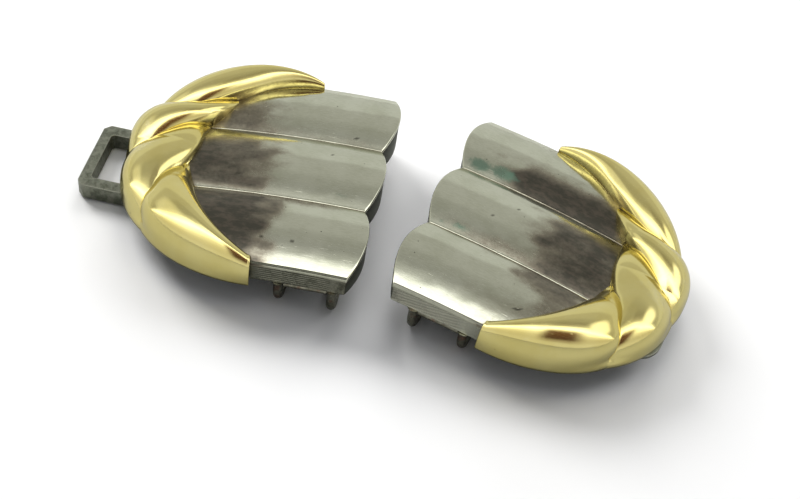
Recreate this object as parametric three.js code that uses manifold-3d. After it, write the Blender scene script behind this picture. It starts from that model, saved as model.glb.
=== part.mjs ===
// Two-part belt clasp: a left half with a swinging clasp eye and a right half
// with a fixed clasp hook. Each half has a three-pleat silver-tone face, a
// hollow cast frame, a gold-tone crescent wrapped round its outer end, and two
// wire strap bars that the belt end threads round.
//
// Millimetres, +Z up, Z = 0 is the table under the strap bars. The origin is at
// table level under the middle of the pair's plan box. The left half runs along
// -X from its pleated end; the right half lies on its +X side, turned about Z.
//
// Each half is built in its own frame: x = from the pleated end out to the gold
// end, y = across (near side -y, far side +y), z = up. The left half is then
// mirrored in x.
import * as THREE from 'three';
import { mergeVertices } from 'three/addons/utils/BufferGeometryUtils.js';
import ManifoldModule from 'manifold-3d';

const wasm = await ManifoldModule();
wasm.setup();

const { clamp, degToRad } = THREE.MathUtils;

// ---------------------------------------------------------------- dimensions
// Placing of the halves
const LEFT_X = -2.7586;
const LEFT_Y = 2.0572;
const RIGHT_OFFSET_X = 12.55; // from pleated end to pleated end
const RIGHT_OFFSET_Y = 0.63;
const RIGHT_TURN_DEG = -14.1;

// What differs between the near and far sides of a half
const NEAR = {
  arch: 1.5, // face edge below the valley line
  rimDeg: 98, // end of the horn on the rim ellipse
  innerDeg: 71.5, // end of the horn on the inner circle
  tipCrest: 0.7, // crest height at the horn tip
  lift: 0, // extra crest height along the horn
};
const FAR = { arch: 0.4, rimDeg: 102, innerDeg: 76, tipCrest: 1.0, lift: 1.3 };
const sideOf = (position) => (position > 0 ? FAR : NEAR);

// Pleated face
const HALF_W = 21.75; // half width across the three pleats
const VALLEY = 7.5; // valley lines at y = +-VALLEY
const VALLEY_Z = 11.7; // height of the valley lines at x = 0
const CROWN = 1.7; // pleat crown above the line through its edges
const SLOPE = 0.017; // fall of the face towards the gold end
const BEND = 0.00533; // lengthwise curvature, 1/mm
const SCALLOP = 1.8; // bulge of each pleat's end
const SHEET = 0.7;
const TUCK = 0.6; // run of the face under the gold

// Cast frame
const FRAME_GAP = 0.15; // face sheet to frame
const FRAME_WALL = 1.7;
const FRAME_ROOF = 0.9;
const FRAME_END_INSET = 0.12; // frame end behind the face end
const FRAME_RUN = 0.2; // run past the crescent's inner edge
const BOTTOM_Z_PLEATED = 6.3; // underside at x = 0
const BOTTOM_Z_OUT = 5.15; // lowest the underside falls to
const SHELF_T = 1.35; // shelf under the crescent
const SHELF_INSET = 2.35; // shelf edge inside the gold rim
const SHELF_START_X = 17.6;
const POCKET_END_GAP = 0.2; // added to the wall at the pleated end
const POCKET_MAX_X = 25;
const POCKET_EDGE_GAP = 1.5; // pocket end short of the inner edge
const CUT_FLOOR_Z = 1; // open-bottomed cutters reach down to here

// Gold crescent
const RIM_X = 19.0; // centre of the outer rim ellipse
const RIM_A = 25.0; // semi-axis along x
const RIM_B = 23.2; // semi-axis along y
const RIM_Z = 5.0;
const INNER_X = 8.0; // centre of the inner edge circle
const INNER_R = 22.8;
const INNER_TIP_TIGHTEN = 0.5; // loss of inner radius at the tips
const INNER_SINK = 0.6; // inner edge below the face
const INNER_LIP = 0.02; // foot of the inner edge, as a share of the width
const CREST = 5.0; // crest above the valley lines, mid-crescent
const CREST_OUT = 0.44; // crest line as a share of the width
const CREST_OVER = 0.45; // crest line in the creases' over column
const TIP_ARCH_START = 0.75; // the crest follows the face's arch from here
const SWELL_Z = 2.2; // height above the rim of the centre walls shrink to
const GOLD_T = 0.75;
const CAVITY_END = 0.95; // the cavity stops this far along each horn
const CREASE_DEPTH = 1.5;
const CREASE_REACH = 0.155; // half width of a crease, in the along column
// Crease lines, [over, along]: over runs from 0 at the inner edge to 1 at the
// rim, along from -1 at the near tip to 1 at the far tip
const CREASES = [
  [[0, 0.49], [0.12, 0.43], [0.24, 0.35], [0.34, 0.295], [0.54, 0.245], [0.75, 0.235],
    [1, 0.235]],
  [[0, 0.245], [0.12, 0.19], [0.28, 0.13], [0.45, 0.06], [0.62, 0], [0.78, -0.035],
    [1, -0.06]],
  [[0, -0.125], [0.27, -0.2], [0.4, -0.255], [0.59, -0.345], [0.75, -0.385],
    [0.92, -0.43], [1, -0.465]],
];

// Room cut out of the crescent for the face and the shelf
const FACE_ROOM = { start: -4, side: 0.25, above: 0.22, pastEdge: 1.2 };
const SHELF_ROOM = { bottom: 4, above: 0.25, edge: 0.35 };

// Strap bars and rails
const WIRE_R = 0.85;
const BAR_Y = 20.85; // leg centre
const BAR_BEND = 2.3;
const BAR_FRAME_GAP = 0.1;
const LEFT_BARS = [2.2, 11.2]; // x of the inner and outer bar
const RIGHT_BARS = [4.1, 13.1];
const RAIL_R = 0.6;
const RAIL_FRAME_GAP = 0.2;
const RAIL_BAR_GAP = 1.2; // rail end to bar centre

// Back plate
const BACK = { thickness: 0.6, lift: 0.3, sideGap: 0.3, endGap: 0.55, edgeGap: 1.9, maxX: 24.6 };

// Clasp eye and its bracket
const HINGE_X = 39.5;
const HINGE_Z = 1.9;
const EYE_T = 3.2;
const EYE_W = 15.6;
const EYE_CHAMFER = 1.1;
const EYE_OUT_X = 50.5;
const EYE_BAR = 1.9; // bar beyond the slot
const SLOT_W = 11.2;
const SLOT_HINGE_GAP = 0.2;
const PIN_R = 0.65;
const PIN_HOLE_R = 0.98;
const PIN_LUG_CLEARANCE = 0.15;
const PIN_END = 0.4; // pin beyond each lug
const PLATE_T = 0.8; // bracket and hook plates
const PLATE_Z = 3.95;
const LUG_T = 1.3;
const LUG_GAP = 0.35; // eye to lug
const LUG_BACK = 1.7; // lug reach on the -x side of the hinge
const LUG_FRONT = 1.2; // and on the +x side
const LUG_ROUND_R = 1.45;
const LUG_ROUND_OFFSET = -0.25; // its centre from the hinge
const BRACKET_START_X = 26.4;
const BRACKET_W = EYE_W + 2 * (LUG_GAP + LUG_T);

// Clasp hook
const HOOK_W = 22.6;
const HOOK_START_X = 26.2;
const HOOK_END_X = 43.1;
const HOOK_CORNER = 5.5;
const FINGER_W = 9.0;
const FINGER_T = 1.5;
const FINGER_INSET = 0.5; // from the hook's end
const FINGER_Z = 0.5; // bottom of the finger
const TOE_TOP_Z = 1.5;
const TOE_REACH = 1.2; // toe beyond the finger, towards -x
const TOE_INSET = 0.8;

// Rivets
const CRESCENT_STUD = { shankR: 0.9, headR: 1.6, headT: 0.65 };
const PLATE_STUD = { shankR: 0.6, headR: 1.2, headT: 0.55 };
const CRESCENT_HOLE_R = 1.2;
const PLATE_HOLE_R = 0.9;
const END_RIVET = { name: 'end', x: 34.8, y: 0, bottom: 3.0, top: 9.6 };
const CRESCENT_RIVETS = [
  { name: 'near', x: 26.5, y: -17.0, bottom: 4.2, top: 10.0 },
  { name: 'far', x: 26.5, y: 17.0, bottom: 4.2, top: 10.0 },
  END_RIVET,
];
const PLATE_RIVETS = [
  { name: 'near', x: 28.2, y: -8, bottom: 3.1, top: 6.4 },
  { name: 'far', x: 28.2, y: 8, bottom: 3.1, top: 6.4 },
];
// z range of the drills
const DRILL_BOTTOM = 3;
const PLATE_DRILL_TOP = 6;
const FRAME_DRILL_TOP = { crescent: 12, plate: 9 };

// ----------------------------------------------------------------- materials
const metal = ({ color, roughness }) =>
  new THREE.MeshStandardMaterial({ color, roughness, metalness: 1.0 });
const SILVER = metal({ color: 0xb4b2a6, roughness: 0.28 });
const CAST = metal({ color: 0x8f8e84, roughness: 0.42 });
const GOLD = metal({ color: 0xd9b24a, roughness: 0.16 });
const WIRE = metal({ color: 0x77766d, roughness: 0.38 });
const DARK = metal({ color: 0x3f423c, roughness: 0.5 });
const PLATE = metal({ color: 0x5a5a52, roughness: 0.5 });

// ------------------------------------------------------------- solid helpers
function toManifold(geometry) {
  for (const name of Object.keys(geometry.attributes)) {
    if (name !== 'position') geometry.deleteAttribute(name);
  }
  const merged = mergeVertices(geometry, 1e-5);
  return new wasm.Manifold(new wasm.Mesh({
    numProp: 3,
    vertProperties: new Float32Array(merged.attributes.position.array),
    triVerts: new Uint32Array(merged.index.array),
  }));
}

function toGeometry(manifold) {
  const mesh = manifold.getMesh();
  const geometry = new THREE.BufferGeometry();
  geometry.setAttribute('position', new THREE.Float32BufferAttribute(mesh.vertProperties, 3));
  geometry.setIndex(new THREE.Uint32BufferAttribute(mesh.triVerts, 1));
  return geometry;
}

function swapWinding(indices) {
  for (let i = 0; i < indices.length; i += 3) {
    [indices[i + 1], indices[i + 2]] = [indices[i + 2], indices[i + 1]];
  }
}

// Solid from points and a flat triangle list, with its faces turned outwards
function solidFrom(points, triangles) {
  let volume = 0;
  for (let i = 0; i < triangles.length; i += 3) {
    const [a, b, c] = triangles.slice(i, i + 3).map((index) => points[index]);
    volume += a[0] * (b[1] * c[2] - b[2] * c[1])
      - a[1] * (b[0] * c[2] - b[2] * c[0])
      + a[2] * (b[0] * c[1] - b[1] * c[0]);
  }
  if (volume < 0) swapWinding(triangles);
  const geometry = new THREE.BufferGeometry();
  geometry.setAttribute('position', new THREE.Float32BufferAttribute(points.flat(), 3));
  geometry.setIndex(triangles);
  return toManifold(geometry);
}

// Closed solid between two height functions over a grid of plan points
function slab(plan, rows, columns, top, bottom) {
  const points = [];
  const triangles = [];
  for (const height of [bottom, top]) {
    for (let i = 0; i <= rows; i++) {
      for (let j = 0; j <= columns; j++) {
        const [x, y] = plan(i, j);
        points.push([x, y, height(x, y)]);
      }
    }
  }
  const low = (i, j) => i * (columns + 1) + j;
  const high = (i, j) => (rows + 1) * (columns + 1) + low(i, j);
  const quad = (a, b, c, d) => triangles.push(a, b, c, a, c, d);
  for (let i = 0; i < rows; i++) {
    for (let j = 0; j < columns; j++) {
      quad(high(i, j), high(i + 1, j), high(i + 1, j + 1), high(i, j + 1));
      quad(low(i, j), low(i, j + 1), low(i + 1, j + 1), low(i + 1, j));
    }
  }
  for (let i = 0; i < rows; i++) {
    quad(low(i, 0), low(i + 1, 0), high(i + 1, 0), high(i, 0));
    quad(high(i, columns), high(i + 1, columns), low(i + 1, columns), low(i, columns));
  }
  for (let j = 0; j < columns; j++) {
    quad(high(0, j), high(0, j + 1), low(0, j + 1), low(0, j));
    quad(low(rows, j), low(rows, j + 1), high(rows, j + 1), high(rows, j));
  }
  return solidFrom(points, triangles);
}

// Closed solid through a row of rings, each an array of [x, y, z]
function loft(rings) {
  const count = rings[0].length;
  const points = rings.flat();
  const triangles = [];
  for (let i = 0; i < rings.length - 1; i++) {
    for (let j = 0; j < count; j++) {
      const here = i * count + j;
      const next = i * count + ((j + 1) % count);
      triangles.push(here, next, next + count, here, next + count, here + count);
    }
  }
  for (const k of [0, rings.length - 1]) {
    const centre = [0, 0, 0];
    for (const point of rings[k]) {
      for (let axis = 0; axis < 3; axis++) centre[axis] += point[axis] / count;
    }
    const hub = points.length;
    points.push(centre);
    for (let j = 0; j < count; j++) {
      const here = k * count + j;
      const next = k * count + ((j + 1) % count);
      triangles.push(hub, ...(k === 0 ? [next, here] : [here, next]));
    }
  }
  return solidFrom(points, triangles);
}

// Vertical prism from a plan outline
function prism(shape, bottom, top, curveSegments = 6) {
  const geometry = new THREE.ExtrudeGeometry(shape, {
    depth: top - bottom,
    bevelEnabled: false,
    curveSegments,
  });
  geometry.translate(0, 0, bottom);
  return toManifold(geometry);
}

// Box from its [start, end] range on each axis
function box(...ranges) {
  const geometry = new THREE.BoxGeometry(...ranges.map(([start, end]) => end - start));
  geometry.translate(...ranges.map(([start, end]) => (start + end) / 2));
  return toManifold(geometry);
}

function rodZ(x, y, radius, bottom, top, sides = 16) {
  const geometry = new THREE.CylinderGeometry(radius, radius, top - bottom, sides);
  geometry.rotateX(Math.PI / 2);
  geometry.translate(x, y, (bottom + top) / 2);
  return toManifold(geometry);
}

function rodY(x, z, radius, start, end, sides = 20) {
  const geometry = new THREE.CylinderGeometry(radius, radius, end - start, sides);
  geometry.translate(x, (start + end) / 2, z);
  return toManifold(geometry);
}

const vec = (x, y, z) => new THREE.Vector3(x, y, z);

function wireRing(centre, axisA, axisB, radius, sides) {
  const ring = [];
  for (let k = 0; k < sides; k++) {
    const angle = (2 * Math.PI * (k + 0.5)) / sides;
    ring.push(centre.clone()
      .addScaledVector(axisA, radius * Math.cos(angle))
      .addScaledVector(axisB, radius * Math.sin(angle))
      .toArray());
  }
  return ring;
}

// -------------------------------------------------------------- face surface
const fall = (x) => SLOPE * x + (BEND * Math.max(x, 0) ** 2) / 2;

// Share of the way from the valley line to the side edge
const outerShare = (y) => (Math.abs(y) - VALLEY) / (HALF_W - VALLEY);

function pleatHeight(y) {
  if (Math.abs(y) <= VALLEY) return CROWN * (1 - (y / VALLEY) ** 2);
  const share = outerShare(y);
  return -sideOf(y).arch * share + 4 * CROWN * share * (1 - share);
}

// x of the scalloped pleated end
function pleatedEnd(y) {
  if (Math.abs(y) <= VALLEY) return -SCALLOP * (1 - (y / VALLEY) ** 2);
  const share = outerShare(y);
  return -4 * SCALLOP * share * (1 - share);
}

const faceTop = (x, y) => VALLEY_Z - fall(x) + pleatHeight(y);
const faceTopClamped = (x, y) => faceTop(x, clamp(y, -HALF_W, HALF_W));
const innerEdge = (y, radius = INNER_R) => INNER_X + Math.sqrt(radius * radius - y * y);
const frameBottom = (x) => Math.max(BOTTOM_Z_OUT, BOTTOM_Z_PLEATED - fall(x));
const frameRoof = (x, y) => faceTop(x, y) - SHEET - FRAME_GAP;

// Slab gridded so that grid lines run along both valleys
function pleatedSlab({ halfWidth, perPleat, rows, start, end, top, bottom }) {
  const edges = [-halfWidth, -VALLEY, VALLEY, halfWidth];
  const columns = [-halfWidth];
  for (let k = 0; k < 3; k++) {
    for (let i = 1; i <= perPleat; i++) {
      columns.push(edges[k] + ((edges[k + 1] - edges[k]) * i) / perPleat);
    }
  }
  const plan = (i, j) => {
    const y = columns[j];
    return [start(y) + ((end(y) - start(y)) * i) / rows, y];
  };
  return slab(plan, rows, columns.length - 1, top, bottom);
}

function makeFace() {
  return pleatedSlab({
    halfWidth: HALF_W,
    perPleat: 7,
    rows: 9,
    start: pleatedEnd,
    end: (y) => innerEdge(y) + TUCK,
    top: faceTop,
    bottom: (x, y) => faceTop(x, y) - SHEET,
  });
}

// --------------------------------------------------------------------- frame
function shelfOutline(inset) {
  const shape = new THREE.Shape();
  const steps = 30;
  const startAngle = Math.acos((SHELF_START_X - RIM_X) / (RIM_A - inset));
  for (let k = 0; k <= steps; k++) {
    const angle = -startAngle + (2 * startAngle * k) / steps;
    const x = RIM_X + (RIM_A - inset) * Math.cos(angle);
    const y = (RIM_B - inset) * Math.sin(angle);
    if (k === 0) shape.moveTo(x, y);
    else shape.lineTo(x, y);
  }
  shape.closePath();
  return shape;
}

function drillPlateRivets(solid, top) {
  return PLATE_RIVETS.reduce((drilled, { x, y }) =>
    drilled.subtract(rodZ(x, y, PLATE_HOLE_R, DRILL_BOTTOM, top, 12)), solid);
}

function makeFrame() {
  const body = pleatedSlab({
    halfWidth: HALF_W,
    perPleat: 6,
    rows: 7,
    start: (y) => pleatedEnd(y) + FRAME_END_INSET,
    end: (y) => innerEdge(y) + FRAME_RUN,
    top: frameRoof,
    bottom: frameBottom,
  });
  const shelf = prism(shelfOutline(SHELF_INSET), BOTTOM_Z_OUT, BOTTOM_Z_OUT + SHELF_T);
  // hollow underside
  const pocket = pleatedSlab({
    halfWidth: HALF_W - FRAME_WALL,
    perPleat: 5,
    rows: 6,
    start: (y) => pleatedEnd(y) + FRAME_WALL + POCKET_END_GAP,
    end: (y) => Math.min(POCKET_MAX_X, innerEdge(y) - POCKET_EDGE_GAP),
    top: (x, y) => frameRoof(x, y) - FRAME_ROOF,
    bottom: () => CUT_FLOOR_Z,
  });
  let frame = body.add(shelf).subtract(pocket);
  for (const { x, y } of CRESCENT_RIVETS) {
    frame = frame.subtract(rodZ(x, y, CRESCENT_HOLE_R, DRILL_BOTTOM, FRAME_DRILL_TOP.crescent));
  }
  return drillPlateRivets(frame, FRAME_DRILL_TOP.plate);
}

function makeBack() {
  return pleatedSlab({
    halfWidth: HALF_W - FRAME_WALL - BACK.sideGap,
    perPleat: 4,
    rows: 5,
    start: (y) => pleatedEnd(y) + FRAME_WALL + BACK.endGap,
    end: (y) => Math.min(BACK.maxX, innerEdge(y) - BACK.edgeGap),
    top: (x) => frameBottom(x) + BACK.lift + BACK.thickness,
    bottom: (x) => frameBottom(x) + BACK.lift,
  });
}

// ------------------------------------------------------------- gold crescent
// Position along the crescent of a crease line
function creaseAt(crease, over) {
  let k = 0;
  while (k < crease.length - 2 && over > crease[k + 1][0]) k++;
  const [startOver, startAlong] = crease[k];
  const [endOver, endAlong] = crease[k + 1];
  return startAlong + (endAlong - startAlong) * ((over - startOver) / (endOver - startOver));
}

function creaseDepth(along, over) {
  const distances = CREASES.map((crease) =>
    Math.abs(along - creaseAt(crease, over)) / CREASE_REACH);
  return CREASE_DEPTH * (1 - Math.sin((Math.PI / 2) * Math.min(1, ...distances)));
}

function crestHeight(x, along) {
  const side = sideOf(along);
  const tipward = Math.abs(along);
  return VALLEY_Z - fall(x)
    + side.tipCrest + (CREST - side.tipCrest) * (1 - tipward ** 3.5)
    - side.arch * Math.max(0, tipward - TIP_ARCH_START) / (1 - TIP_ARCH_START)
    + side.lift * Math.sin(Math.PI * tipward) ** 0.7;
}

// Cross-section ring; an inset of 0 gives the outside, more gives the cavity
function crescentSection(along, inset) {
  const side = sideOf(along);
  const innerAngle = degToRad(side.innerDeg * along);
  const rimAngle = degToRad(side.rimDeg * along);
  const innerRadius = INNER_R - INNER_TIP_TIGHTEN * along ** 6;
  const innerX = INNER_X + innerRadius * Math.cos(innerAngle);
  const innerY = innerRadius * Math.sin(innerAngle);
  const spanX = RIM_X + RIM_A * Math.cos(rimAngle) - innerX;
  const spanY = RIM_B * Math.sin(rimAngle) - innerY;
  const width = Math.hypot(spanX, spanY);
  const planAt = (out) => [innerX + (spanX / width) * out, innerY + (spanY / width) * out];

  const crestOut = CREST_OUT * width;
  const crestZ = crestHeight(planAt(crestOut)[0], along);
  const innerZ = faceTopClamped(innerX, innerY) - INNER_SINK;
  const centreOut = 0.5 * width;
  const centreZ = RIM_Z + SWELL_Z;
  const ring = [];
  // creases and the inset both pull a point towards the section's centre
  const put = (out, z, depth) => {
    const distance = Math.hypot(out - centreOut, z - centreZ);
    const scale = Math.max(0, (distance - depth - inset) / distance);
    const [x, y] = planAt(centreOut + (out - centreOut) * scale);
    ring.push([x, y, centreZ + (z - centreZ) * scale]);
  };

  // inner edge up to the crest
  const innerSteps = 5;
  for (let k = 0; k <= innerSteps; k++) {
    const angle = (Math.PI / 2) * (k / innerSteps);
    put(
      crestOut * (1 - Math.cos(angle)),
      innerZ + (crestZ - innerZ) * Math.sin(angle) ** 0.9,
      creaseDepth(along, CREST_OVER * (k / innerSteps)),
    );
  }
  // crest down to the rim; the outside keeps its rim line uncreased
  const outerSteps = 7;
  for (let k = 1; k <= outerSteps; k++) {
    const angle = (Math.PI / 2) * (k / outerSteps);
    const over = CREST_OVER + (1 - CREST_OVER) * (k / outerSteps);
    put(
      crestOut + (width - crestOut) * Math.sin(angle),
      RIM_Z + (crestZ - RIM_Z) * Math.cos(angle) ** 0.78,
      k === outerSteps && inset === 0 ? 0 : creaseDepth(along, over),
    );
  }
  if (inset === 0) {
    ring.push([...planAt(INNER_LIP * width), RIM_Z]);
  } else {
    // the cavity is open underneath
    ring[ring.length - 1][2] = CUT_FLOOR_Z;
    ring.push([ring[0][0], ring[0][1], CUT_FLOOR_Z]);
  }
  return ring;
}

function crescentLoft(reach, steps, inset) {
  const rings = [];
  for (let i = 0; i <= steps; i++) {
    rings.push(crescentSection(-reach + (2 * reach * i) / steps, inset));
  }
  return loft(rings.reverse());
}

function makeCrescent() {
  const outer = crescentLoft(1, 40, 0);
  const cavity = crescentLoft(CAVITY_END, 26, GOLD_T);
  const faceRoom = pleatedSlab({
    halfWidth: HALF_W + FACE_ROOM.side,
    perPleat: 6,
    rows: 5,
    start: () => FACE_ROOM.start,
    end: (y) => innerEdge(y, INNER_R + FACE_ROOM.pastEdge),
    top: (x, y) => faceTopClamped(x, y) + FACE_ROOM.above,
    bottom: () => CUT_FLOOR_Z,
  });
  const shelfRoom = prism(
    shelfOutline(SHELF_INSET - SHELF_ROOM.edge),
    SHELF_ROOM.bottom,
    BOTTOM_Z_OUT + SHELF_T + SHELF_ROOM.above,
  );
  // keep only the largest piece left by the cuts
  const pieces = outer.subtract(cavity).subtract(faceRoom).subtract(shelfRoom).decompose();
  return pieces.reduce((best, piece) => (piece.volume() > best.volume() ? piece : best));
}

// ---------------------------------------------------------------- strap bars
// Leg, elbow, crossbar, elbow, leg, with rings square to the wire
function makeBar(x) {
  const legTop = frameBottom(x + WIRE_R) - BAR_FRAME_GAP;
  const corner = (side) => [
    vec(x, side * BAR_Y, WIRE_R + BAR_BEND),
    vec(x, side * BAR_Y, WIRE_R),
    vec(x, side * (BAR_Y - BAR_BEND), WIRE_R),
  ];
  const elbows = [
    new THREE.QuadraticBezierCurve3(...corner(-1)),
    new THREE.QuadraticBezierCurve3(...corner(1).reverse()),
  ];
  const elbowSteps = 5;
  const stations = [[vec(x, -BAR_Y, legTop), vec(0, 0, -1)]];
  for (const elbow of elbows) {
    for (let k = 0; k <= elbowSteps; k++) {
      stations.push([elbow.getPoint(k / elbowSteps), elbow.getTangent(k / elbowSteps)]);
    }
  }
  stations.push([vec(x, BAR_Y, legTop), vec(0, 0, 1)]);
  const axisA = vec(1, 0, 0);
  return loft(stations.map(([centre, tangent]) =>
    wireRing(centre, axisA, tangent.cross(axisA).normalize(), WIRE_R, 10)));
}

// Rail along the frame's underside between the two bars
function makeRail([innerBar, outerBar], y) {
  const start = innerBar + RAIL_BAR_GAP;
  const end = outerBar - RAIL_BAR_GAP;
  const steps = 4;
  const rings = [];
  for (let i = 0; i <= steps; i++) {
    const x = start + ((end - start) * i) / steps;
    const centre = vec(x, y, frameBottom(x) - RAIL_FRAME_GAP - RAIL_R);
    rings.push(wireRing(centre, vec(0, 1, 0), vec(0, 0, 1), RAIL_R, 8));
  }
  return loft(rings);
}

// -------------------------------------------------------------- eye and hook
function eyeOutline() {
  const half = EYE_W / 2;
  const shape = new THREE.Shape();
  shape.moveTo(HINGE_X, -half);
  shape.lineTo(EYE_OUT_X - EYE_CHAMFER, -half);
  shape.lineTo(EYE_OUT_X, -half + EYE_CHAMFER);
  shape.lineTo(EYE_OUT_X, half - EYE_CHAMFER);
  shape.lineTo(EYE_OUT_X - EYE_CHAMFER, half);
  shape.lineTo(HINGE_X, half);
  shape.closePath();
  return shape;
}

function makeEye() {
  const slot = box(
    [HINGE_X + EYE_T / 2 + SLOT_HINGE_GAP, EYE_OUT_X - EYE_BAR],
    [-SLOT_W / 2, SLOT_W / 2],
    [-1, 6],
  );
  return prism(eyeOutline(), HINGE_Z - EYE_T / 2, HINGE_Z + EYE_T / 2)
    .add(rodY(HINGE_X, HINGE_Z, EYE_T / 2, -EYE_W / 2, EYE_W / 2, 24))
    .subtract(slot)
    .subtract(rodY(HINGE_X, HINGE_Z, PIN_HOLE_R, -EYE_W, EYE_W));
}

function makePin() {
  const halfLength = BRACKET_W / 2 + PIN_END;
  return rodY(HINGE_X, HINGE_Z, PIN_R, -halfLength, halfLength, 16);
}

function drillPlate(plate) {
  const { x, y } = END_RIVET;
  const hole = rodZ(x, y, CRESCENT_HOLE_R, DRILL_BOTTOM, PLATE_DRILL_TOP);
  return drillPlateRivets(plate.subtract(hole), PLATE_DRILL_TOP);
}

function makeBracket() {
  const lugInner = EYE_W / 2 + LUG_GAP;
  const lugOuter = BRACKET_W / 2;
  const front = HINGE_X + LUG_FRONT;
  let bracket = box(
    [BRACKET_START_X, front],
    [-lugOuter, lugOuter],
    [PLATE_Z, PLATE_Z + PLATE_T],
  );
  for (const [start, end] of [[-lugOuter, -lugInner], [lugInner, lugOuter]]) {
    const roundX = HINGE_X + LUG_ROUND_OFFSET;
    const holeR = PIN_R + PIN_LUG_CLEARANCE;
    bracket = bracket
      .add(box([HINGE_X - LUG_BACK, front], [start, end], [HINGE_Z, PLATE_Z + 0.1]))
      .add(rodY(roundX, HINGE_Z, LUG_ROUND_R, start, end, 18))
      .subtract(rodY(HINGE_X, HINGE_Z, holeR, start - 1, end + 1, 16));
  }
  return drillPlate(bracket);
}

function hookOutline() {
  const half = HOOK_W / 2;
  const shape = new THREE.Shape();
  shape.moveTo(HOOK_START_X, -half);
  shape.lineTo(HOOK_END_X - HOOK_CORNER, -half);
  shape.quadraticCurveTo(HOOK_END_X, -half, HOOK_END_X, -half + HOOK_CORNER);
  shape.lineTo(HOOK_END_X, half - HOOK_CORNER);
  shape.quadraticCurveTo(HOOK_END_X, half, HOOK_END_X - HOOK_CORNER, half);
  shape.lineTo(HOOK_START_X, half);
  shape.closePath();
  return shape;
}

// Plate with a finger turned down at its end and a toe turned towards -x
function makeHook() {
  const fingerBack = HOOK_END_X - FINGER_T - FINGER_INSET;
  const across = [-FINGER_W / 2, FINGER_W / 2];
  const finger = box([fingerBack, HOOK_END_X - FINGER_INSET], across, [FINGER_Z, PLATE_Z + 0.2]);
  const toe = box(
    [fingerBack - TOE_REACH, HOOK_END_X - TOE_INSET],
    across,
    [FINGER_Z, TOE_TOP_Z],
  );
  return drillPlate(prism(hookOutline(), PLATE_Z, PLATE_Z + PLATE_T, 8).add(finger).add(toe));
}

// Round-head stud, head underneath
function makeStud({ x, y, bottom, top }, { shankR, headR, headT }) {
  const profile = [
    [0, bottom],
    [headR * 0.6, bottom],
    [headR, bottom + headT * 0.55],
    [headR, bottom + headT],
    [shankR, bottom + headT],
    [shankR, top],
    [0, top],
  ].map(([radius, z]) => new THREE.Vector2(radius, z));
  const geometry = new THREE.LatheGeometry(profile, 12);
  geometry.rotateX(Math.PI / 2);
  geometry.translate(x, y, 0);
  return toManifold(geometry);
}

// ------------------------------------------------------------------ assembly
function mirrorX(geometry) {
  const position = geometry.attributes.position;
  for (let i = 0; i < position.count; i++) position.setX(i, -position.getX(i));
  swapWinding(geometry.index.array);
}

function makeHalf(side, bars) {
  const isLeft = side === 'left';
  const group = new THREE.Group();
  const add = (solid, name, material) => {
    const geometry = toGeometry(solid);
    if (isLeft) mirrorX(geometry);
    geometry.computeVertexNormals();
    const mesh = new THREE.Mesh(geometry, material);
    mesh.name = `${side}_${name}`;
    group.add(mesh);
  };
  add(makeFace(), 'fluted_face', SILVER);
  add(makeFrame(), 'base_frame', CAST);
  add(makeCrescent(), 'gold_crescent', GOLD);
  add(makeBack(), 'back_plate', PLATE);
  add(makeBar(bars[0]), 'inner_strap_bar', WIRE);
  add(makeBar(bars[1]), 'outer_strap_bar', WIRE);
  add(makeRail(bars, -BAR_Y), 'near_bar_rail', WIRE);
  add(makeRail(bars, BAR_Y), 'far_bar_rail', WIRE);
  for (const rivet of CRESCENT_RIVETS) {
    add(makeStud(rivet, CRESCENT_STUD), `${rivet.name}_crescent_rivet`, PLATE);
  }
  for (const rivet of PLATE_RIVETS) {
    const plateName = isLeft ? 'eye_bracket' : 'hook';
    add(makeStud(rivet, PLATE_STUD), `${plateName}_rivet_${rivet.name}`, PLATE);
  }
  if (isLeft) {
    add(makeBracket(), 'eye_bracket', DARK);
    add(makePin(), 'eye_hinge_pin', DARK);
    add(makeEye(), 'clasp_eye', DARK);
  } else {
    add(makeHook(), 'clasp_hook', DARK);
  }
  return group;
}

const clasp = new THREE.Group();

const left = makeHalf('left', LEFT_BARS);
left.position.set(LEFT_X, LEFT_Y, 0);
clasp.add(left);

const right = makeHalf('right', RIGHT_BARS);
right.position.set(LEFT_X + RIGHT_OFFSET_X, LEFT_Y + RIGHT_OFFSET_Y, 0);
right.rotation.z = degToRad(RIGHT_TURN_DEG);
clasp.add(right);

export default clasp;
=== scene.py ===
"""A clasp in two halves, lying on a white table, z up.

Each half is a pleated silver face on a cast frame, with a gold crescent over one end and wire
bars below. The pleated ends face each other across the gap: the left half's crescent points to
-x, and the right half's to +x, turned a little clockwise. The left crescent end carries a
hinged eye, the right one a hook. "Near" is towards -y and "far" towards +y.
"""

from math import acos, atan2, cos, pi, radians, sin

import bpy
import numpy as np
from mathutils import Matrix, Vector


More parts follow.
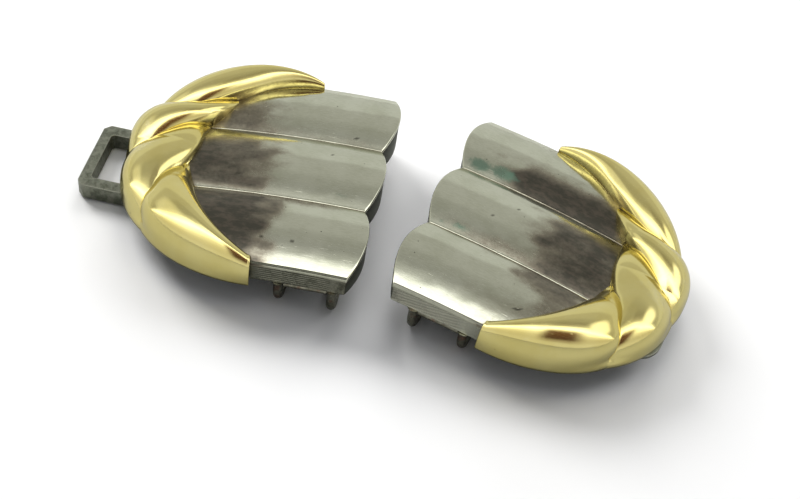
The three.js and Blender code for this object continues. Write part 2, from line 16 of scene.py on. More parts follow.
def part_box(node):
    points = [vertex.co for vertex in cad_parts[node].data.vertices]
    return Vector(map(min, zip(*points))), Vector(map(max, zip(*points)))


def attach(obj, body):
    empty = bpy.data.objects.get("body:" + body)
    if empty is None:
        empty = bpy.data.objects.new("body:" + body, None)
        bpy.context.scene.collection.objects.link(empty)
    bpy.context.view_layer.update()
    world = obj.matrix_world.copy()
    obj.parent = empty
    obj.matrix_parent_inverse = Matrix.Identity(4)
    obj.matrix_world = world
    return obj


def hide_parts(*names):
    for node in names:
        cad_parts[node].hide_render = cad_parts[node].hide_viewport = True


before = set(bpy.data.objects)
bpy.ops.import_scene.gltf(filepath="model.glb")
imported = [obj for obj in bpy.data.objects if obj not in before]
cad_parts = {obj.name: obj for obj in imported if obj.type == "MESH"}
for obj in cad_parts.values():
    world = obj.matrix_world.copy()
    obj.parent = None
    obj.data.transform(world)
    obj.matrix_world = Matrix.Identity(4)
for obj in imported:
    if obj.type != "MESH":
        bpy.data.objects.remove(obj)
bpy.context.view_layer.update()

# --------------------------------------------------------------- dimensions
# Half coordinates, in mm: x from the pleated end outwards, y across, z up.
# face: two valleys at y = +-VALLEY_Y part three pleats
HALF_WIDTH, VALLEY_Y, VALLEY_Z, CROWN = 21.75, 7.5, 11.7, 1.7
ARCH_NEAR, ARCH_FAR = 1.5, 0.4      # fall from the valley to the long side
SLOPE, BEND = 0.017, 0.00533        # fall of the face along x: linear and quadratic
SCALLOP = 1.8                       # how far each pleat stands out at the end
SHEET, TUCK = 0.7, 1.9              # thickness, and length hidden under the crescent
EDGE_STEPS = np.array([0, 0.02, 0.06, 0.12, 0.19, 0.26, 0.34, 0.5])
# frame
FRAME_WALL = 1.7
FRAME_GAP = SHEET + 0.15            # from the face's top down to the frame's
BOTTOM_AT_END, BOTTOM_MIN = 6.3, 5.15
# crescent outlines: a rim ellipse and an inner circle, each with its centre x and its half
# angles in degrees on the near and the far side
RIM_X, RIM_LENGTH, RIM_WIDTH = 19.0, 25.0, 23.2
INNER_X, INNER_RADIUS = 8.0, 22.8
RIM_NEAR, RIM_FAR, INNER_NEAR, INNER_FAR = 97.5, 102, 68.5, 76
# crescent heights
RIM_Z, CREST, TIP_NEAR, TIP_FAR, FAR_LIFT = 5.0, 5.0, 0.7, 1.0, 1.3
CREST_AT = 0.45                     # place of the crest from inner edge (0) to rim (1)
GOLD_WALL, CREASE_DEPTH = 0.75, 1.8
# creases of the crescent, far to near: places from the inner edge (0) to the rim (1), then
# places along it, from the near tip (-1) to the far tip (1)
CREASES = [
    ([0, 0.12, 0.24, 0.34, 0.54, 0.75, 1], [0.49, 0.43, 0.35, 0.295, 0.245, 0.235, 0.235]),
    ([0, 0.12, 0.28, 0.45, 0.62, 0.78, 1], [0.245, 0.19, 0.13, 0.06, 0, -0.035, -0.06]),
    ([0, 0.27, 0.4, 0.59, 0.75, 0.92, 1],
     [-0.125, -0.2, -0.255, -0.345, -0.385, -0.43, -0.465]),
]
# wire bars and rails
WIRE_RADIUS, BAR_Y, RAIL_RADIUS = 0.85, 20.85, 0.6
BARS_X = {"left": (2.2, 11.2), "right": (4.1, 13.1)}
# eye, hook and studs
PIN_X, PIN_Z, END_STUD_X = 39.5, 1.9, 34.8
EYE_WIDTH, LUG_GAP, LUG_WALL = 15.6, 0.35, 1.3
BRACKET_HALF = EYE_WIDTH / 2 + LUG_GAP + LUG_WALL
PLATE_Z = (3.95, 4.75)
PLATE_CORNER = 1.2


# ------------------------------------------------------------------ placing
def cad_centre(node):
    low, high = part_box(node)
    return (low.x + high.x) / 2 * 1000, (low.y + high.y) / 2 * 1000


TURN = radians(-14.1)
pin_x, LEFT_Y = cad_centre("left_eye_hinge_pin")
LEFT_X = pin_x + PIN_X
stud_x, stud_y = cad_centre("right_end_crescent_rivet")
RIGHT_X = stud_x - END_STUD_X * cos(TURN)
RIGHT_Y = stud_y - END_STUD_X * sin(TURN)


def to_scene(points, side):
    """Half coordinates in mm to scene metres; the left half is mirrored."""
    x, y, z = points.T
    if side == "left":
        placed = [LEFT_X - x, LEFT_Y + y, z]
    else:
        placed = [RIGHT_X + x * cos(TURN) - y * sin(TURN),
                  RIGHT_Y + x * sin(TURN) + y * cos(TURN), z]
    return np.stack(placed, -1) / 1000.0


# ------------------------------------------------------------------- curves
def rise(x, start, end):
    """Smooth step from 0 to 1."""
    part = np.clip((x - start) / (end - start), 0, 1)
    return part * part * (3 - 2 * part)


def bell(x, centre, width):
    return np.exp(-((x - centre) / width) ** 2)


def waves(x, y, seed, size):
    """Smooth value about -1..1 from 14 summed sines, size in mm, same every run."""
    random = np.random.RandomState(seed)
    total = np.zeros(np.broadcast(x, y).shape)
    for _ in range(14):
        angle = random.uniform(0, 2 * pi)
        rate = random.uniform(0.6, 1.8) / size
        phase = random.uniform(0, 2 * pi)
        total = total + np.sin(2 * pi * rate * (x * cos(angle) + y * sin(angle)) + phase)
    return total / np.sqrt(14)


def rounding(distance, radius):
    """Depth taken off a surface at a distance from its rounded edge."""
    near = np.clip(distance, 0, radius)
    return radius - np.sqrt(radius * radius - (radius - near) ** 2)


def drop(x):
    beyond = np.maximum(x, 0)
    return SLOPE * x + BEND * beyond * beyond / 2


def side_arch(y):
    return np.where(y > 0, ARCH_FAR, ARCH_NEAR)


def side_part(y):
    """0 at a valley, 1 at the long side."""
    return (np.abs(y) - VALLEY_Y) / (HALF_WIDTH - VALLEY_Y)


def pleat(y):
    part = side_part(y)
    return np.where(np.abs(y) <= VALLEY_Y, CROWN * (1 - (y / VALLEY_Y) ** 2),
                    -side_arch(y) * part + 4 * CROWN * part * (1 - part))


def face_top(x, y):
    return VALLEY_Z - drop(x) + pleat(y)


def end_edge(y):
    """x of the scalloped end."""
    part = side_part(y)
    return np.where(np.abs(y) <= VALLEY_Y, -SCALLOP * (1 - (y / VALLEY_Y) ** 2),
                    -4 * SCALLOP * part * (1 - part))


def inner_edge(y):
    """x of the crescent's inner edge."""
    return INNER_X + np.sqrt(np.maximum(INNER_RADIUS * INNER_RADIUS - y * y, 0))


def frame_bottom(x):
    return np.maximum(BOTTOM_MIN, BOTTOM_AT_END - drop(x))


def pleat_columns(limit, count):
    """Set of y values, count to each pleat, out to +-limit."""
    columns = set()
    for low, high in ((-limit, -VALLEY_Y), (-VALLEY_Y, VALLEY_Y), (VALLEY_Y, limit)):
        columns |= set(np.round(np.linspace(low, high, count), 4))
    return columns


def bend(start, corner, end):
    """Quadratic curve of 14 points."""
    start, corner, end = np.array([start, corner, end], float)
    return [tuple((1 - t) ** 2 * start + 2 * t * (1 - t) * corner + t * t * end)
            for t in np.linspace(0, 1, 14)]


# ------------------------------------------------------------------- solids
# Each solid is (points, faces) in half coordinates, faces anticlockwise from outside.
def facing_out(points, faces):
    """The faces, all reversed where they enclose the points inside out."""
    faces = [list(map(int, face)) for face in faces]
    corners = np.array([[f[0], f[i], f[i + 1]] for f in faces for i in range(1, len(f) - 1)])
    first, second, third = (points[corners[:, i]] for i in range(3))
    volume = np.einsum("ij,ij->i", first, np.cross(second, third)).sum()
    return [face[::-1] for face in faces] if volume < 0 else faces


def grid_solid(front, back):
    """Closed solid between two grids of points, each (rows, columns, 3)."""
    count = front.shape[0] * front.shape[1]
    points = np.concatenate([front.reshape(-1, 3), back.reshape(-1, 3)])
    index = np.arange(count).reshape(front.shape[:2])
    quads = np.stack([index[:-1, :-1], index[1:, :-1], index[1:, 1:], index[:-1, 1:]], -1)
    quads = quads.reshape(-1, 4)

    def wall(line):
        return np.stack([line[:-1] + count, line[1:] + count, line[1:], line[:-1]], -1)

    walls = [wall(line) for line in (index[:, 0], index[::-1, -1], index[0, ::-1], index[-1])]
    return points, np.concatenate([quads, quads[:, [0, 3, 2, 1]] + count, *walls])


def slab(x, y, top, bottom):
    """Closed solid between two surfaces; rows run with x and columns with y."""
    return grid_solid(np.stack([x, y, top], -1), np.stack([x, y, bottom], -1))


def ring_faces(index):
    """Quads between neighbouring rows of an index grid whose rows are closed rings."""
    after = np.roll(index, -1, 1)
    return np.stack([index[:-1], after[:-1], after[1:], index[1:]], -1).reshape(-1, 4)


def loft(rings, caps=None):
    """Closed solid through rings (rings, points, 3); caps are the end centres."""
    rings = np.asarray(rings)
    if caps is None:
        caps = [rings[0].mean(0), rings[-1].mean(0)]
    count = rings.shape[0] * rings.shape[1]
    points = np.concatenate([rings.reshape(-1, 3), caps])
    index = np.arange(count).reshape(rings.shape[:2])
    after = np.roll(index, -1, 1)
    faces = ring_faces(index).tolist()
    for k in range(rings.shape[1]):
        faces.append([count, after[0, k], index[0, k]])
        faces.append([count + 1, index[-1, k], after[-1, k]])
    return points, facing_out(points, faces)


def tube(path, radius, sides):
    """Round wire along a path; radius is one number or one for each point."""
    path = np.asarray(path, float)
    radius = np.broadcast_to(radius, (len(path),))
    tangents = np.gradient(path, axis=0)
    tangents /= np.linalg.norm(tangents, axis=1)[:, None]
    angles = 2 * pi * np.arange(sides)[:, None] / sides
    across = np.cross(tangents[0], [0.3, 0.1, 0.9])   # any direction off the path
    rings = []
    for centre, tangent, size in zip(path, tangents, radius):
        across = across - tangent * (across @ tangent)
        across /= np.linalg.norm(across)
        other = np.cross(tangent, across)
        rings.append(centre + size * (np.cos(angles) * across + np.sin(angles) * other))
    return loft(rings)


def lathe(x, y, profile, sides):
    """Upright turned solid from (radius, z) points; the first and last are on the axis."""
    angles = 2 * pi * np.arange(sides) / sides
    rings = [np.stack([x + r * np.cos(angles), y + r * np.sin(angles), np.full(sides, z)], -1)
             for r, z in profile[1:-1]]
    return loft(rings, [[x, y, profile[0][1]], [x, y, profile[-1][1]]])


def prism(loop, z0, z1, hole=None):
    """Upright prism from an anticlockwise plan loop; a hole matches it point for point."""
    n = len(loop)
    outlines = [loop] if hole is None else [loop, hole]
    points = np.concatenate([np.c_[outline, np.full(n, z)]
                             for outline in outlines for z in (z0, z1)])
    pairs = [(i, (i + 1) % n) for i in range(n)]
    if hole is None:
        faces = [list(range(n - 1, -1, -1)), list(range(n, 2 * n))]
        return points, faces + [[i, j, n + j, n + i] for i, j in pairs]
    faces = []
    for i, j in pairs:
        faces += [[i, j, n + j, n + i],
                  [n + i, n + j, 3 * n + j, 3 * n + i],
                  [3 * n + i, 3 * n + j, 2 * n + j, 2 * n + i],
                  [2 * n + i, 2 * n + j, j, i]]
    return points, faces


def both_skins(values, below):
    """Attribute of a slab: values over its first surface, one number on its second."""
    return np.concatenate([values.ravel(), np.full(values.size, below)])


def add_part(side, part, shape, finish, stands_for=None, sharp=40, body=None, **attributes):
    """One object; finish is (slot, material), stands_for the CAD piece without its side."""
    points, faces = np.asarray(shape[0], float), [list(map(int, f)) for f in shape[1]]
    slot, material = finish
    if side == "left":                    # mirrored, so the faces turn round
        faces = [face[::-1] for face in faces]
    name = f"{side}_{part}"
    mesh = bpy.data.meshes.new(name)
    mesh.from_pydata(to_scene(points, side).tolist(), [], faces)
    mesh.update()
    # half coordinates, which place every texture
    place = mesh.attributes.new("hc", "FLOAT_VECTOR", "POINT")
    place.data.foreach_set("vector", points.astype(np.float32).ravel())
    for key, values in attributes.items():
        attribute = mesh.attributes.new(key, "FLOAT", "POINT")
        attribute.data.foreach_set("value", np.full(len(points), values, np.float32))
    mesh.polygons.foreach_set("use_smooth", [True] * len(mesh.polygons))
    if sharp:
        mesh.set_sharp_from_angle(angle=radians(sharp))
    mesh.materials.append(material)
    mesh.update()
    obj = bpy.data.objects.new(name, mesh)
    bpy.context.scene.collection.objects.link(obj)
    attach(obj, body or f"{side}_half")
    if stands_for:
        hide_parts(f"{side}_{stands_for}")
    return obj


def round_edges(obj, width, segments, angle):
    """Bevels the edges (width in mm, angle in degrees) and keeps the result as the mesh."""
    edge = obj.modifiers.new("edge", "BEVEL")
    edge.width = width / 1000
    edge.segments = segments
    edge.limit_method = "ANGLE"
    edge.angle_limit = radians(angle)
    edge.use_clamp_overlap = True
    bpy.context.view_layer.update()
    depsgraph = bpy.context.evaluated_depsgraph_get()
    mesh = bpy.data.meshes.new_from_object(obj.evaluated_get(depsgraph))
    obj.modifiers.clear()
    obj.data = mesh
    mesh.set_sharp_from_angle(angle=radians(50))


# -------------------------------------------------------------- node graphs
class Value:
    """An output socket; arithmetic on it adds Math nodes."""

    def __init__(self, graph, socket):
        self.graph, self.socket = graph, socket

    def output(self, key):
        """Another output of the same node."""
        return Value(self.graph, self.socket.node.outputs[key])

    def __add__(self, other):
        return self.graph.math("ADD", self, other)

    def __radd__(self, other):
        return self.graph.math("ADD", other, self)

    def __sub__(self, other):
        return self.graph.math("SUBTRACT", self, other)

    def __rsub__(self, other):
        return self.graph.math("SUBTRACT", other, self)

    def __mul__(self, other):
        return self.graph.math("MULTIPLY", self, other)


class Graph:
    """The emptied node tree of a material or a world."""

    def __init__(self, owner):
        self.owner = owner
        owner.use_nodes = True
        self.tree = owner.node_tree
        self.tree.nodes.clear()

    def node(self, kind, *inputs, output=0, settings=None, **named):
        """Adds a node; inputs go by place (None is left alone) or by name, _ for a space."""
        new = self.tree.nodes.new("ShaderNode" + kind)
        for key, value in (settings or {}).items():
            setattr(new, key, value)
        sockets = [(new.inputs[i], v) for i, v in enumerate(inputs) if v is not None]
        sockets += [(new.inputs[key.replace("_", " ")], v) for key, v in named.items()]
        for socket, value in sockets:
            if isinstance(value, Value):
                self.tree.links.new(value.socket, socket)
            else:
                socket.default_value = value
        return Value(self, new.outputs[output]) if new.outputs else None

    def math(self, operation, first, second):
        return self.node("Math", first, second, settings={"operation": operation})

    def highest(self, first, second):
        return self.math("MAXIMUM", first, second)

    def dot(self, first, second):
        return self.node("VectorMath", first, second, output="Value",
                         settings={"operation": "DOT_PRODUCT"})

    def mask(self, name):
        return self.node("Attribute", output="Fac", settings={"attribute_name": name})

    def place(self, scale=(1, 1, 1), offset=(0, 0, 0), turn=0):
        """Half coordinates, scaled, moved and turned about z."""
        at = self.node("Attribute", output="Vector", settings={"attribute_name": "hc"})
        return self.node("Mapping", Vector=at, Scale=scale, Location=offset,
                         Rotation=(0, 0, turn))

    def noise(self, at, scale, detail=3.0, rough=0.55, warp=0.0):
        return self.node("TexNoise", output="Fac", Vector=at, Scale=scale, Detail=detail,
                         Roughness=rough, Distortion=warp)

    def dots(self, at, scale, span):
        """Round dots, faded over a span of distances from the cell centres."""
        distance = self.node("TexVoronoi", output="Distance", Vector=at, Scale=scale)
        return self.fade(distance, span)

    def fade(self, value, span, to=(0.0, 1.0)):
        """Smooth step over a span of values, between two results."""
        return self.node("MapRange", output="Result",
                         settings={"interpolation_type": "SMOOTHSTEP", "clamp": True},
                         Value=value, From_Min=span[0], From_Max=span[1],
                         To_Min=to[0], To_Max=to[1])

    def mix(self, factor, first, second):
        """Mixes two colours, which are the node's inputs 6 and 7."""
        return self.node("Mix", factor, *[None] * 5, first, second, output=2,
                         settings={"data_type": "RGBA"})

    def bump(self, height, strength, depth):
        """Bump normal; depth in mm."""
        return self.node("Bump", Strength=strength, Distance=depth / 1000, Height=height)

    def surface(self, **inputs):
        self.node("OutputMaterial", self.node("BsdfPrincipled", **inputs))
        return self.owner


def rgb(red, green, blue):
    return (red, green, blue, 1.0)


# ---------------------------------------------------------------- materials
def silver(name, seed):
    """Bright silver with brown and black tarnish, teal stains, pits and scratches; the tarnish
    mask also carries painted shade next to the crescent and along the valleys.
    """
    mat = Graph(bpy.data.materials.new(name))
    offset = (seed * 13.1, seed * 7.7, 0)
    plain = mat.place(offset=offset)
    long_lines = mat.place(scale=(0.10, 2.2, 1.0), offset=(seed * 3.3, 0, 0))
    slant_lines = mat.place(scale=(0.25, 3.0, 1.0), turn=0.55, offset=(seed, 0, 0))
    cloud = mat.noise(mat.place(scale=(0.45, 1.0, 1.0), turn=0.12, offset=offset),
                      scale=0.42, detail=6, rough=0.66, warp=0.35)
    fine = mat.noise(plain, scale=1.6, detail=5, rough=0.65)
    grain = mat.noise(mat.place(scale=(0.35, 1.6, 1.0), offset=(seed, 2, 0)),
                      scale=3.2, detail=5, rough=0.7)
    # painted tarnish and painted shade, broken up by noise
    tarnish = mat.mask("tarn") + (cloud - 0.5) * 0.85 + (fine - 0.5) * 0.5
    brown = mat.fade(tarnish, span=(0.02, 0.90))
    black = mat.fade(tarnish, span=(0.45, 1.35))
    tone = mat.noise(plain, scale=0.22) * 0.5 + grain * 0.5
    colour = mat.mix(mat.fade(tone, span=(0.38, 0.66)),
                     rgb(0.625, 0.632, 0.515), rgb(0.5375, 0.54668, 0.42745))
    colour = mat.mix(brown * 0.92, colour, rgb(0.285, 0.250, 0.188))
    black_tone = mat.noise(mat.place(scale=(0.5, 1.3, 1.0), offset=(seed, 8, 3)),
                           scale=0.8, detail=5, rough=0.7)
    deep = mat.mix(mat.fade(black_tone, span=(0.42, 0.62)),
                   rgb(0.052, 0.050, 0.040), rgb(0.098, 0.083, 0.066))
    colour = mat.mix(black * 0.92, colour, deep)
    teal = mat.fade(mat.mask("teal") + (fine - 0.5) * 0.8, span=(0.35, 0.95))
    colour = mat.mix(teal * 0.80, colour, rgb(0.165, 0.29, 0.215))
    # pits: small dark dots, few and uneven
    pits = mat.dots(mat.place(offset=(seed * 5.1, seed, 0)), scale=0.55, span=(0.075, 0.045))
    pits = pits * mat.fade(mat.noise(plain, scale=0.30, detail=2), span=(0.46, 0.56))
    pits = mat.highest(pits, mat.mask("spot"))
    colour = mat.mix(pits * 0.85, colour, rgb(0.07, 0.065, 0.05))
    scratches = mat.highest(
        mat.fade(mat.noise(long_lines, scale=2.2, detail=2, rough=0.5), span=(0.70, 0.78)),
        mat.fade(mat.noise(slant_lines, scale=1.7, detail=1, rough=0.4), span=(0.735, 0.775)))
    rough = 0.075 + mat.fade(cloud, span=(0.3, 0.75)) * 0.05
    rough = rough + brown * 0.22 + scratches * 0.10 + teal * 0.08
    height = fine * 0.35 - (scratches * 0.30 + pits * 1.2)
    height = height + mat.noise(long_lines, scale=5.0, detail=2) * 0.16 + grain * 0.30
    return mat.surface(Base_Color=colour, Metallic=1.0 - black * 0.15, Roughness=rough,
                       Normal=mat.bump(height, strength=0.35, depth=0.035))


def gold(name, seed):
    """Polished gold with pale haze, brown dirt and painted shade, small spots and scratches."""
    mat = Graph(bpy.data.materials.new(name))
    plain = mat.place(offset=(seed * 9.1, seed * 4.7, 0))
    cloud = mat.noise(plain, scale=0.16, detail=4)
    fine = mat.noise(plain, scale=1.9, detail=5, rough=0.6)
    colour = mat.mix(mat.fade(cloud, span=(0.35, 0.7)),
                     rgb(0.810, 0.710, 0.300), rgb(0.765, 0.655, 0.245))
    haze = mat.noise(mat.place(offset=(seed, 3, 0)), scale=0.11, detail=5, rough=0.6, warp=0.8)
    haze = mat.fade(haze, span=(0.60, 0.72))
    colour = mat.mix(haze * 0.30, colour, rgb(0.80, 0.75, 0.50))
    # the dirt mask holds dirt and painted shade: the creases and the inner edge are darkened
    dirt = mat.fade(mat.mask("dirt") + (fine - 0.5) * 0.7, span=(0.45, 0.95))
    colour = mat.mix(dirt * 0.92, colour, rgb(0.10, 0.062, 0.020))
    slant_lines = mat.place(scale=(0.5, 3.0, 0.5), turn=0.8, offset=(seed, 0, 0))
    scratches = mat.fade(mat.noise(slant_lines, scale=1.5, detail=1, rough=0.4),
                         span=(0.735, 0.77))
    spots = mat.dots(mat.place(offset=(seed * 2.3, 1, 0)), scale=0.30, span=(0.05, 0.035))
    spots = spots * mat.fade(mat.noise(plain, scale=0.2, detail=2), span=(0.5, 0.58))
    colour = mat.mix(spots * 0.8, colour, rgb(0.12, 0.07, 0.03))
    rough = 0.125 + haze * 0.08 + mat.fade(fine, span=(0.35, 0.8)) * 0.035
    rough = rough + (scratches * 0.10 + dirt * 0.30)
    height = mat.noise(plain, scale=0.55) * 1.0 - mat.highest(scratches, spots) * 0.25
    return mat.surface(Base_Color=colour, Metallic=1.0 - dirt * 0.5, Roughness=rough,
                       Normal=mat.bump(height, strength=0.20, depth=0.05))


def wire_metal(name):
    """Grey wire with red-brown patches."""
    mat = Graph(bpy.data.materials.new(name))
    plain = mat.place()
    cloud = mat.noise(plain, scale=0.9, detail=5, rough=0.6)
    patches = mat.noise(mat.place(offset=(4, 9, 1)), scale=0.45, rough=0.5)
    colour = mat.mix(mat.fade(cloud, span=(0.35, 0.72)),
                     rgb(0.30, 0.295, 0.235), rgb(0.135, 0.13275, 0.0987))
    colour = mat.mix(mat.fade(patches, span=(0.54, 0.66)) * 0.7, colour, rgb(0.20, 0.10, 0.07))
    grain = mat.noise(plain, scale=2.5, detail=4)
    return mat.surface(Base_Color=colour, Metallic=1.0,
                       Roughness=mat.fade(cloud, span=(0.3, 0.75), to=(0.22, 0.42)),
                       Normal=mat.bump(grain, strength=0.3, depth=0.04))


def cast(name, tone, dark, span, rough=(0.30, 0.5), depth=0.05, painted=False):
    """Cast metal, clean to dirty by noise and, where painted, by the grime attribute."""
    mat = Graph(bpy.data.materials.new(name))
    cloud = mat.noise(mat.place(), scale=0.55, detail=6, rough=0.65, warp=0.4)
    grain = mat.noise(mat.place(offset=(7, 2, 5)), scale=2.6, detail=5, rough=0.6)
    dirt = mat.fade(cloud + (grain - 0.5) * 0.4, span)
    if painted:
        dirt = mat.highest(dirt, mat.mask("grime"))
    return mat.surface(Base_Color=mat.mix(dirt, rgb(*tone), rgb(*dark)),
                       Metallic=mat.fade(dirt, span=(0, 1), to=(1.0, 0.75)),
                       Roughness=mat.fade(dirt, span=(0, 1), to=rough),
                       Normal=mat.bump(grain, strength=0.4, depth=depth))


def antique(name):
    """Dark antiqued metal, rubbed bright on its edges."""
    mat = Graph(bpy.data.materials.new(name))
    cloud = mat.noise(mat.place(), scale=0.8, detail=6, rough=0.65, warp=0.5)
    grain = mat.noise(mat.place(offset=(2, 2, 5)), scale=2.4, detail=5, rough=0.6)
    # near an edge the rounded normal leaves the true one
    rounded = mat.node("Bevel", settings={"samples": 4}, Radius=0.00030)
    normal = mat.node("NewGeometry", output="Normal")
    edge = mat.fade(mat.dot(rounded, normal), span=(0.995, 0.90))
    edge = edge * mat.fade(cloud, span=(0.30, 0.62))
    colour = mat.mix(mat.fade(cloud, span=(0.35, 0.7)),
                     rgb(0.27, 0.28, 0.225), rgb(0.125, 0.135, 0.100))
    colour = mat.mix(mat.fade(grain, span=(0.58, 0.72)) * 0.5, colour, rgb(0.34, 0.345, 0.28))
    colour = mat.mix(edge * 0.85, colour, rgb(0.55, 0.54, 0.46))
    return mat.surface(Base_Color=colour, Metallic=0.85,
                       Roughness=mat.fade(grain, span=(0.3, 0.7), to=(0.30, 0.52)),
                       Normal=mat.bump(grain, strength=0.45, depth=0.07))


# finishes: (slot, material)
SEEDS = (("left", 1), ("right", 2))
SILVER = {side: ("pleated_silver", silver(f"pleated_silver_{side}", seed))
          for side, seed in SEEDS}
GOLD = {side: ("polished_gold", gold(f"polished_gold_{side}", seed)) for side, seed in SEEDS}
WIRE = ("wire", wire_metal("strap_wire"))
FRAME = ("cast_frame", cast("cast_frame", tone=(0.22, 0.225, 0.18), dark=(0.04, 0.045, 0.03),
                            span=(0.34, 0.62), painted=True))
# lit and shaded copies of one engraved metal: the right band's tone is painted much lighter than
# the left's, as painted light
BAND = {
    "left": ("cast_frame", cast(
        "engraved_band_left", tone=(0.25, 0.25, 0.20), dark=(0.075, 0.078, 0.055),
        span=(0.42, 0.72), rough=(0.24, 0.45), depth=0.03, painted=True)),
    "right": ("cast_frame", cast(
        "engraved_band_right_painted_lighter", tone=(0.60, 0.60, 0.50), dark=(0.15, 0.15, 0.12),
        span=(0.50, 0.82), rough=(0.22, 0.42), depth=0.03, painted=True)),
}
DARK = ("dark_clasp", antique("antiqued_clasp"))
BACKING = ("backing", cast("backing_sheet", tone=(0.34, 0.335, 0.29), dark=(0.12, 0.11, 0.085),
                           span=(0.42, 0.70), rough=(0.32, 0.5)))
RIVETS = ("rivets", cast("rivet_metal", tone=(0.42, 0.41, 0.36), dark=(0.12, 0.11, 0.085),
                         span=(0.45, 0.72), rough=(0.26, 0.45)))

# -------------------------------------------------------------- pleated face
# tarnish patches: x, y, reach in x, reach in y, strength
BLOTCHES = {
    "left": [
        (23.5, -14.5, 6.5, 7.0, 1.25), (19.5, -19.0, 5.5, 3.4, 1.1),
        (18.6, -12.0, 3.6, 4.4, 0.85), (15.6, -20.3, 2.2, 1.4, 0.75),
        (14.6, -13.5, 3.2, 4.2, 0.42), (29.0, -2.0, 3.4, 4.6, 1.2),
        (24.5, -5.0, 5.4, 2.6, 0.80), (18.5, -6.6, 6.0, 1.1, 0.60),
        (22.0, -0.5, 4.0, 4.2, 0.50), (28.0, 10.5, 3.6, 2.6, 1.05),
        (23.0, 9.8, 4.6, 2.2, 0.75), (18.0, 9.2, 5.0, 1.4, 0.52),
        (22.0, 13.0, 4.0, 2.4, 0.45), (12.0, -8.2, 7.0, 0.9, 0.60),
        (16.0, -10.0, 4.0, 2.0, 0.55), (9.0, 8.2, 8.0, 0.7, 0.42)],
    "right": [
        (24.5, 10.8, 6.0, 4.0, 1.35), (18.6, 10.6, 5.0, 3.4, 1.15),
        (14.0, 12.4, 4.4, 3.4, 0.85), (20.0, 14.2, 4.0, 2.4, 0.80),
        (10.5, 10.4, 3.4, 2.0, 0.66), (28.2, 2.4, 3.0, 4.4, 1.2),
        (27.0, -3.4, 3.2, 3.4, 1.1), (21.5, 0.5, 6.0, 5.0, 0.72),
        (15.0, 8.9, 7.0, 1.2, 0.70), (9.0, 8.7, 4.0, 0.9, 0.5),
        (24.6, -9.8, 4.4, 3.0, 0.95), (23.5, -13.6, 4.4, 3.4, 0.70),
        (19.0, -8.6, 5.0, 1.3, 0.66), (18.8, -19.6, 2.6, 1.8, 0.70),
        (20.0, -17.0, 3.6, 2.6, 0.50), (14.3, -6.4, 5.5, 1.0, 0.60)],
}
# teal stains, same columns
TEAL = {
    "left": [(4.6, -5.6, 2.6, 0.9, 0.55), (26.2, 9.0, 2.0, 0.8, 0.25),
             (2.5, 8.2, 1.6, 0.6, 0.45)],
    "right": [(2.6, 9.2, 2.8, 1.5, 1.05), (7.0, 9.4, 3.2, 1.6, 1.05),
              (9.4, 9.2, 1.6, 1.0, 0.55), (5.2, -6.2, 2.6, 0.9, 0.75),
              (1.8, -6.6, 1.2, 0.6, 0.6), (11.0, -6.6, 3.0, 0.6, 0.4),
              (25.2, -8.6, 2.0, 0.8, 0.45)],
}
# dark spots: x, y, reach in x, reach in y
SPOTS = {
    "left": [(15.3, -17.3, 0.22, 0.14), (10.2, -17.3, 0.18, 0.13), (19.4, -12.2, 0.24, 0.12),
             (4.8, 8.9, 0.30, 0.12), (8.0, 3.0, 0.10, 0.10), (22.8, -4.3, 0.4, 0.10),
             (17.4, -8.6, 0.16, 0.10)],
    "right": [(19.5, -17.0, 0.34, 0.20), (20.2, -16.6, 0.20, 0.14), (19.4, -7.3, 0.16, 0.12),
              (9.0, -1.8, 0.14, 0.10), (12.4, 2.1, 0.20, 0.07), (14.0, -11.0, 0.10, 0.10)],
}
# tarnished zones: x from, x to, softness in x, y from, its softness, y to, its softness,
# strength
ZONES = {
    "left": [(14.5, 36.0, 7.5, -23.0, 1.6, -8.3, 1.4, 1.50),
             (17.5, 38.0, 8.5, -7.0, 1.8, 4.6, 4.5, 1.30),
             (20.0, 36.0, 8.0, 7.5, 0.4, 13.6, 5.0, 0.95),
             (-4.0, 22.0, 9.0, 7.6, 0.4, 8.8, 2.2, 0.42),
             (5.0, 24.0, 8.0, -9.2, 1.6, -7.7, 0.5, 0.80)],
    "right": [(8.0, 36.0, 9.0, 7.5, 0.3, 12.6, 5.0, 1.70),
              (17.5, 38.0, 10.0, -7.3, 0.4, 5.2, 5.0, 1.40),
              (16.0, 32.0, 8.0, -11.6, 3.6, -7.6, 0.3, 1.10),
              (21.0, 31.0, 6.0, -19.5, 4.0, -10.0, 3.0, 0.75),
              (3.0, 22.0, 8.0, -7.3, 0.4, -5.2, 2.0, 0.70)],
}


def zones(x, y, items):
    def up(value, at, softness):
        return rise(value, at - softness / 2, at + softness / 2)

    out = np.zeros_like(x)
    for x0, x1, soft_x, y0, soft_y0, y1, soft_y1, strength in items:
        inside_x = up(x, x0, soft_x) * (1 - up(x, x1, soft_x))
        inside_y = up(y, y0, soft_y0) * (1 - up(y, y1, soft_y1))
        out = np.maximum(out, strength * inside_x * inside_y)
    return out


def blotches(x, y, items):
    out = np.zeros_like(x)
    for x0, y0, reach_x, reach_y, strength in items:
        out = np.maximum(out, strength * bell(x, x0, reach_x) * bell(y, y0, reach_y))
    return out


def face_tarnish(side, x, y, seed):
    # tarnish patches and zones, plus painted shade next to the crescent and along the valleys
    from_crescent = inner_edge(y) - x
    warped_x = x + 1.5 * waves(x * 0.5, y, seed + 5, size=4.0)
    warped_y = y + 0.8 * waves(x, y, seed + 6, size=5.0)
    tarnish = (0.34 * blotches(warped_x, warped_y, BLOTCHES[side])
               + 0.70 * zones(warped_x, y, ZONES[side]))
    # painted shade: dark where the face meets the crescent's edge, and faintly up to some 7 mm
    # from it
    tarnish = np.maximum(tarnish, 0.78 * np.exp(-np.maximum(from_crescent, 0) / 0.9))
    tarnish = np.maximum(tarnish, 0.30 * bell(from_crescent, 0, 7.0))
    # painted shade: a dark line in each valley groove
    for s in (-1, 1):
        tarnish = np.maximum(tarnish, 1.25 * bell(y - s * VALLEY_Y, -0.17, 0.14))
    return tarnish


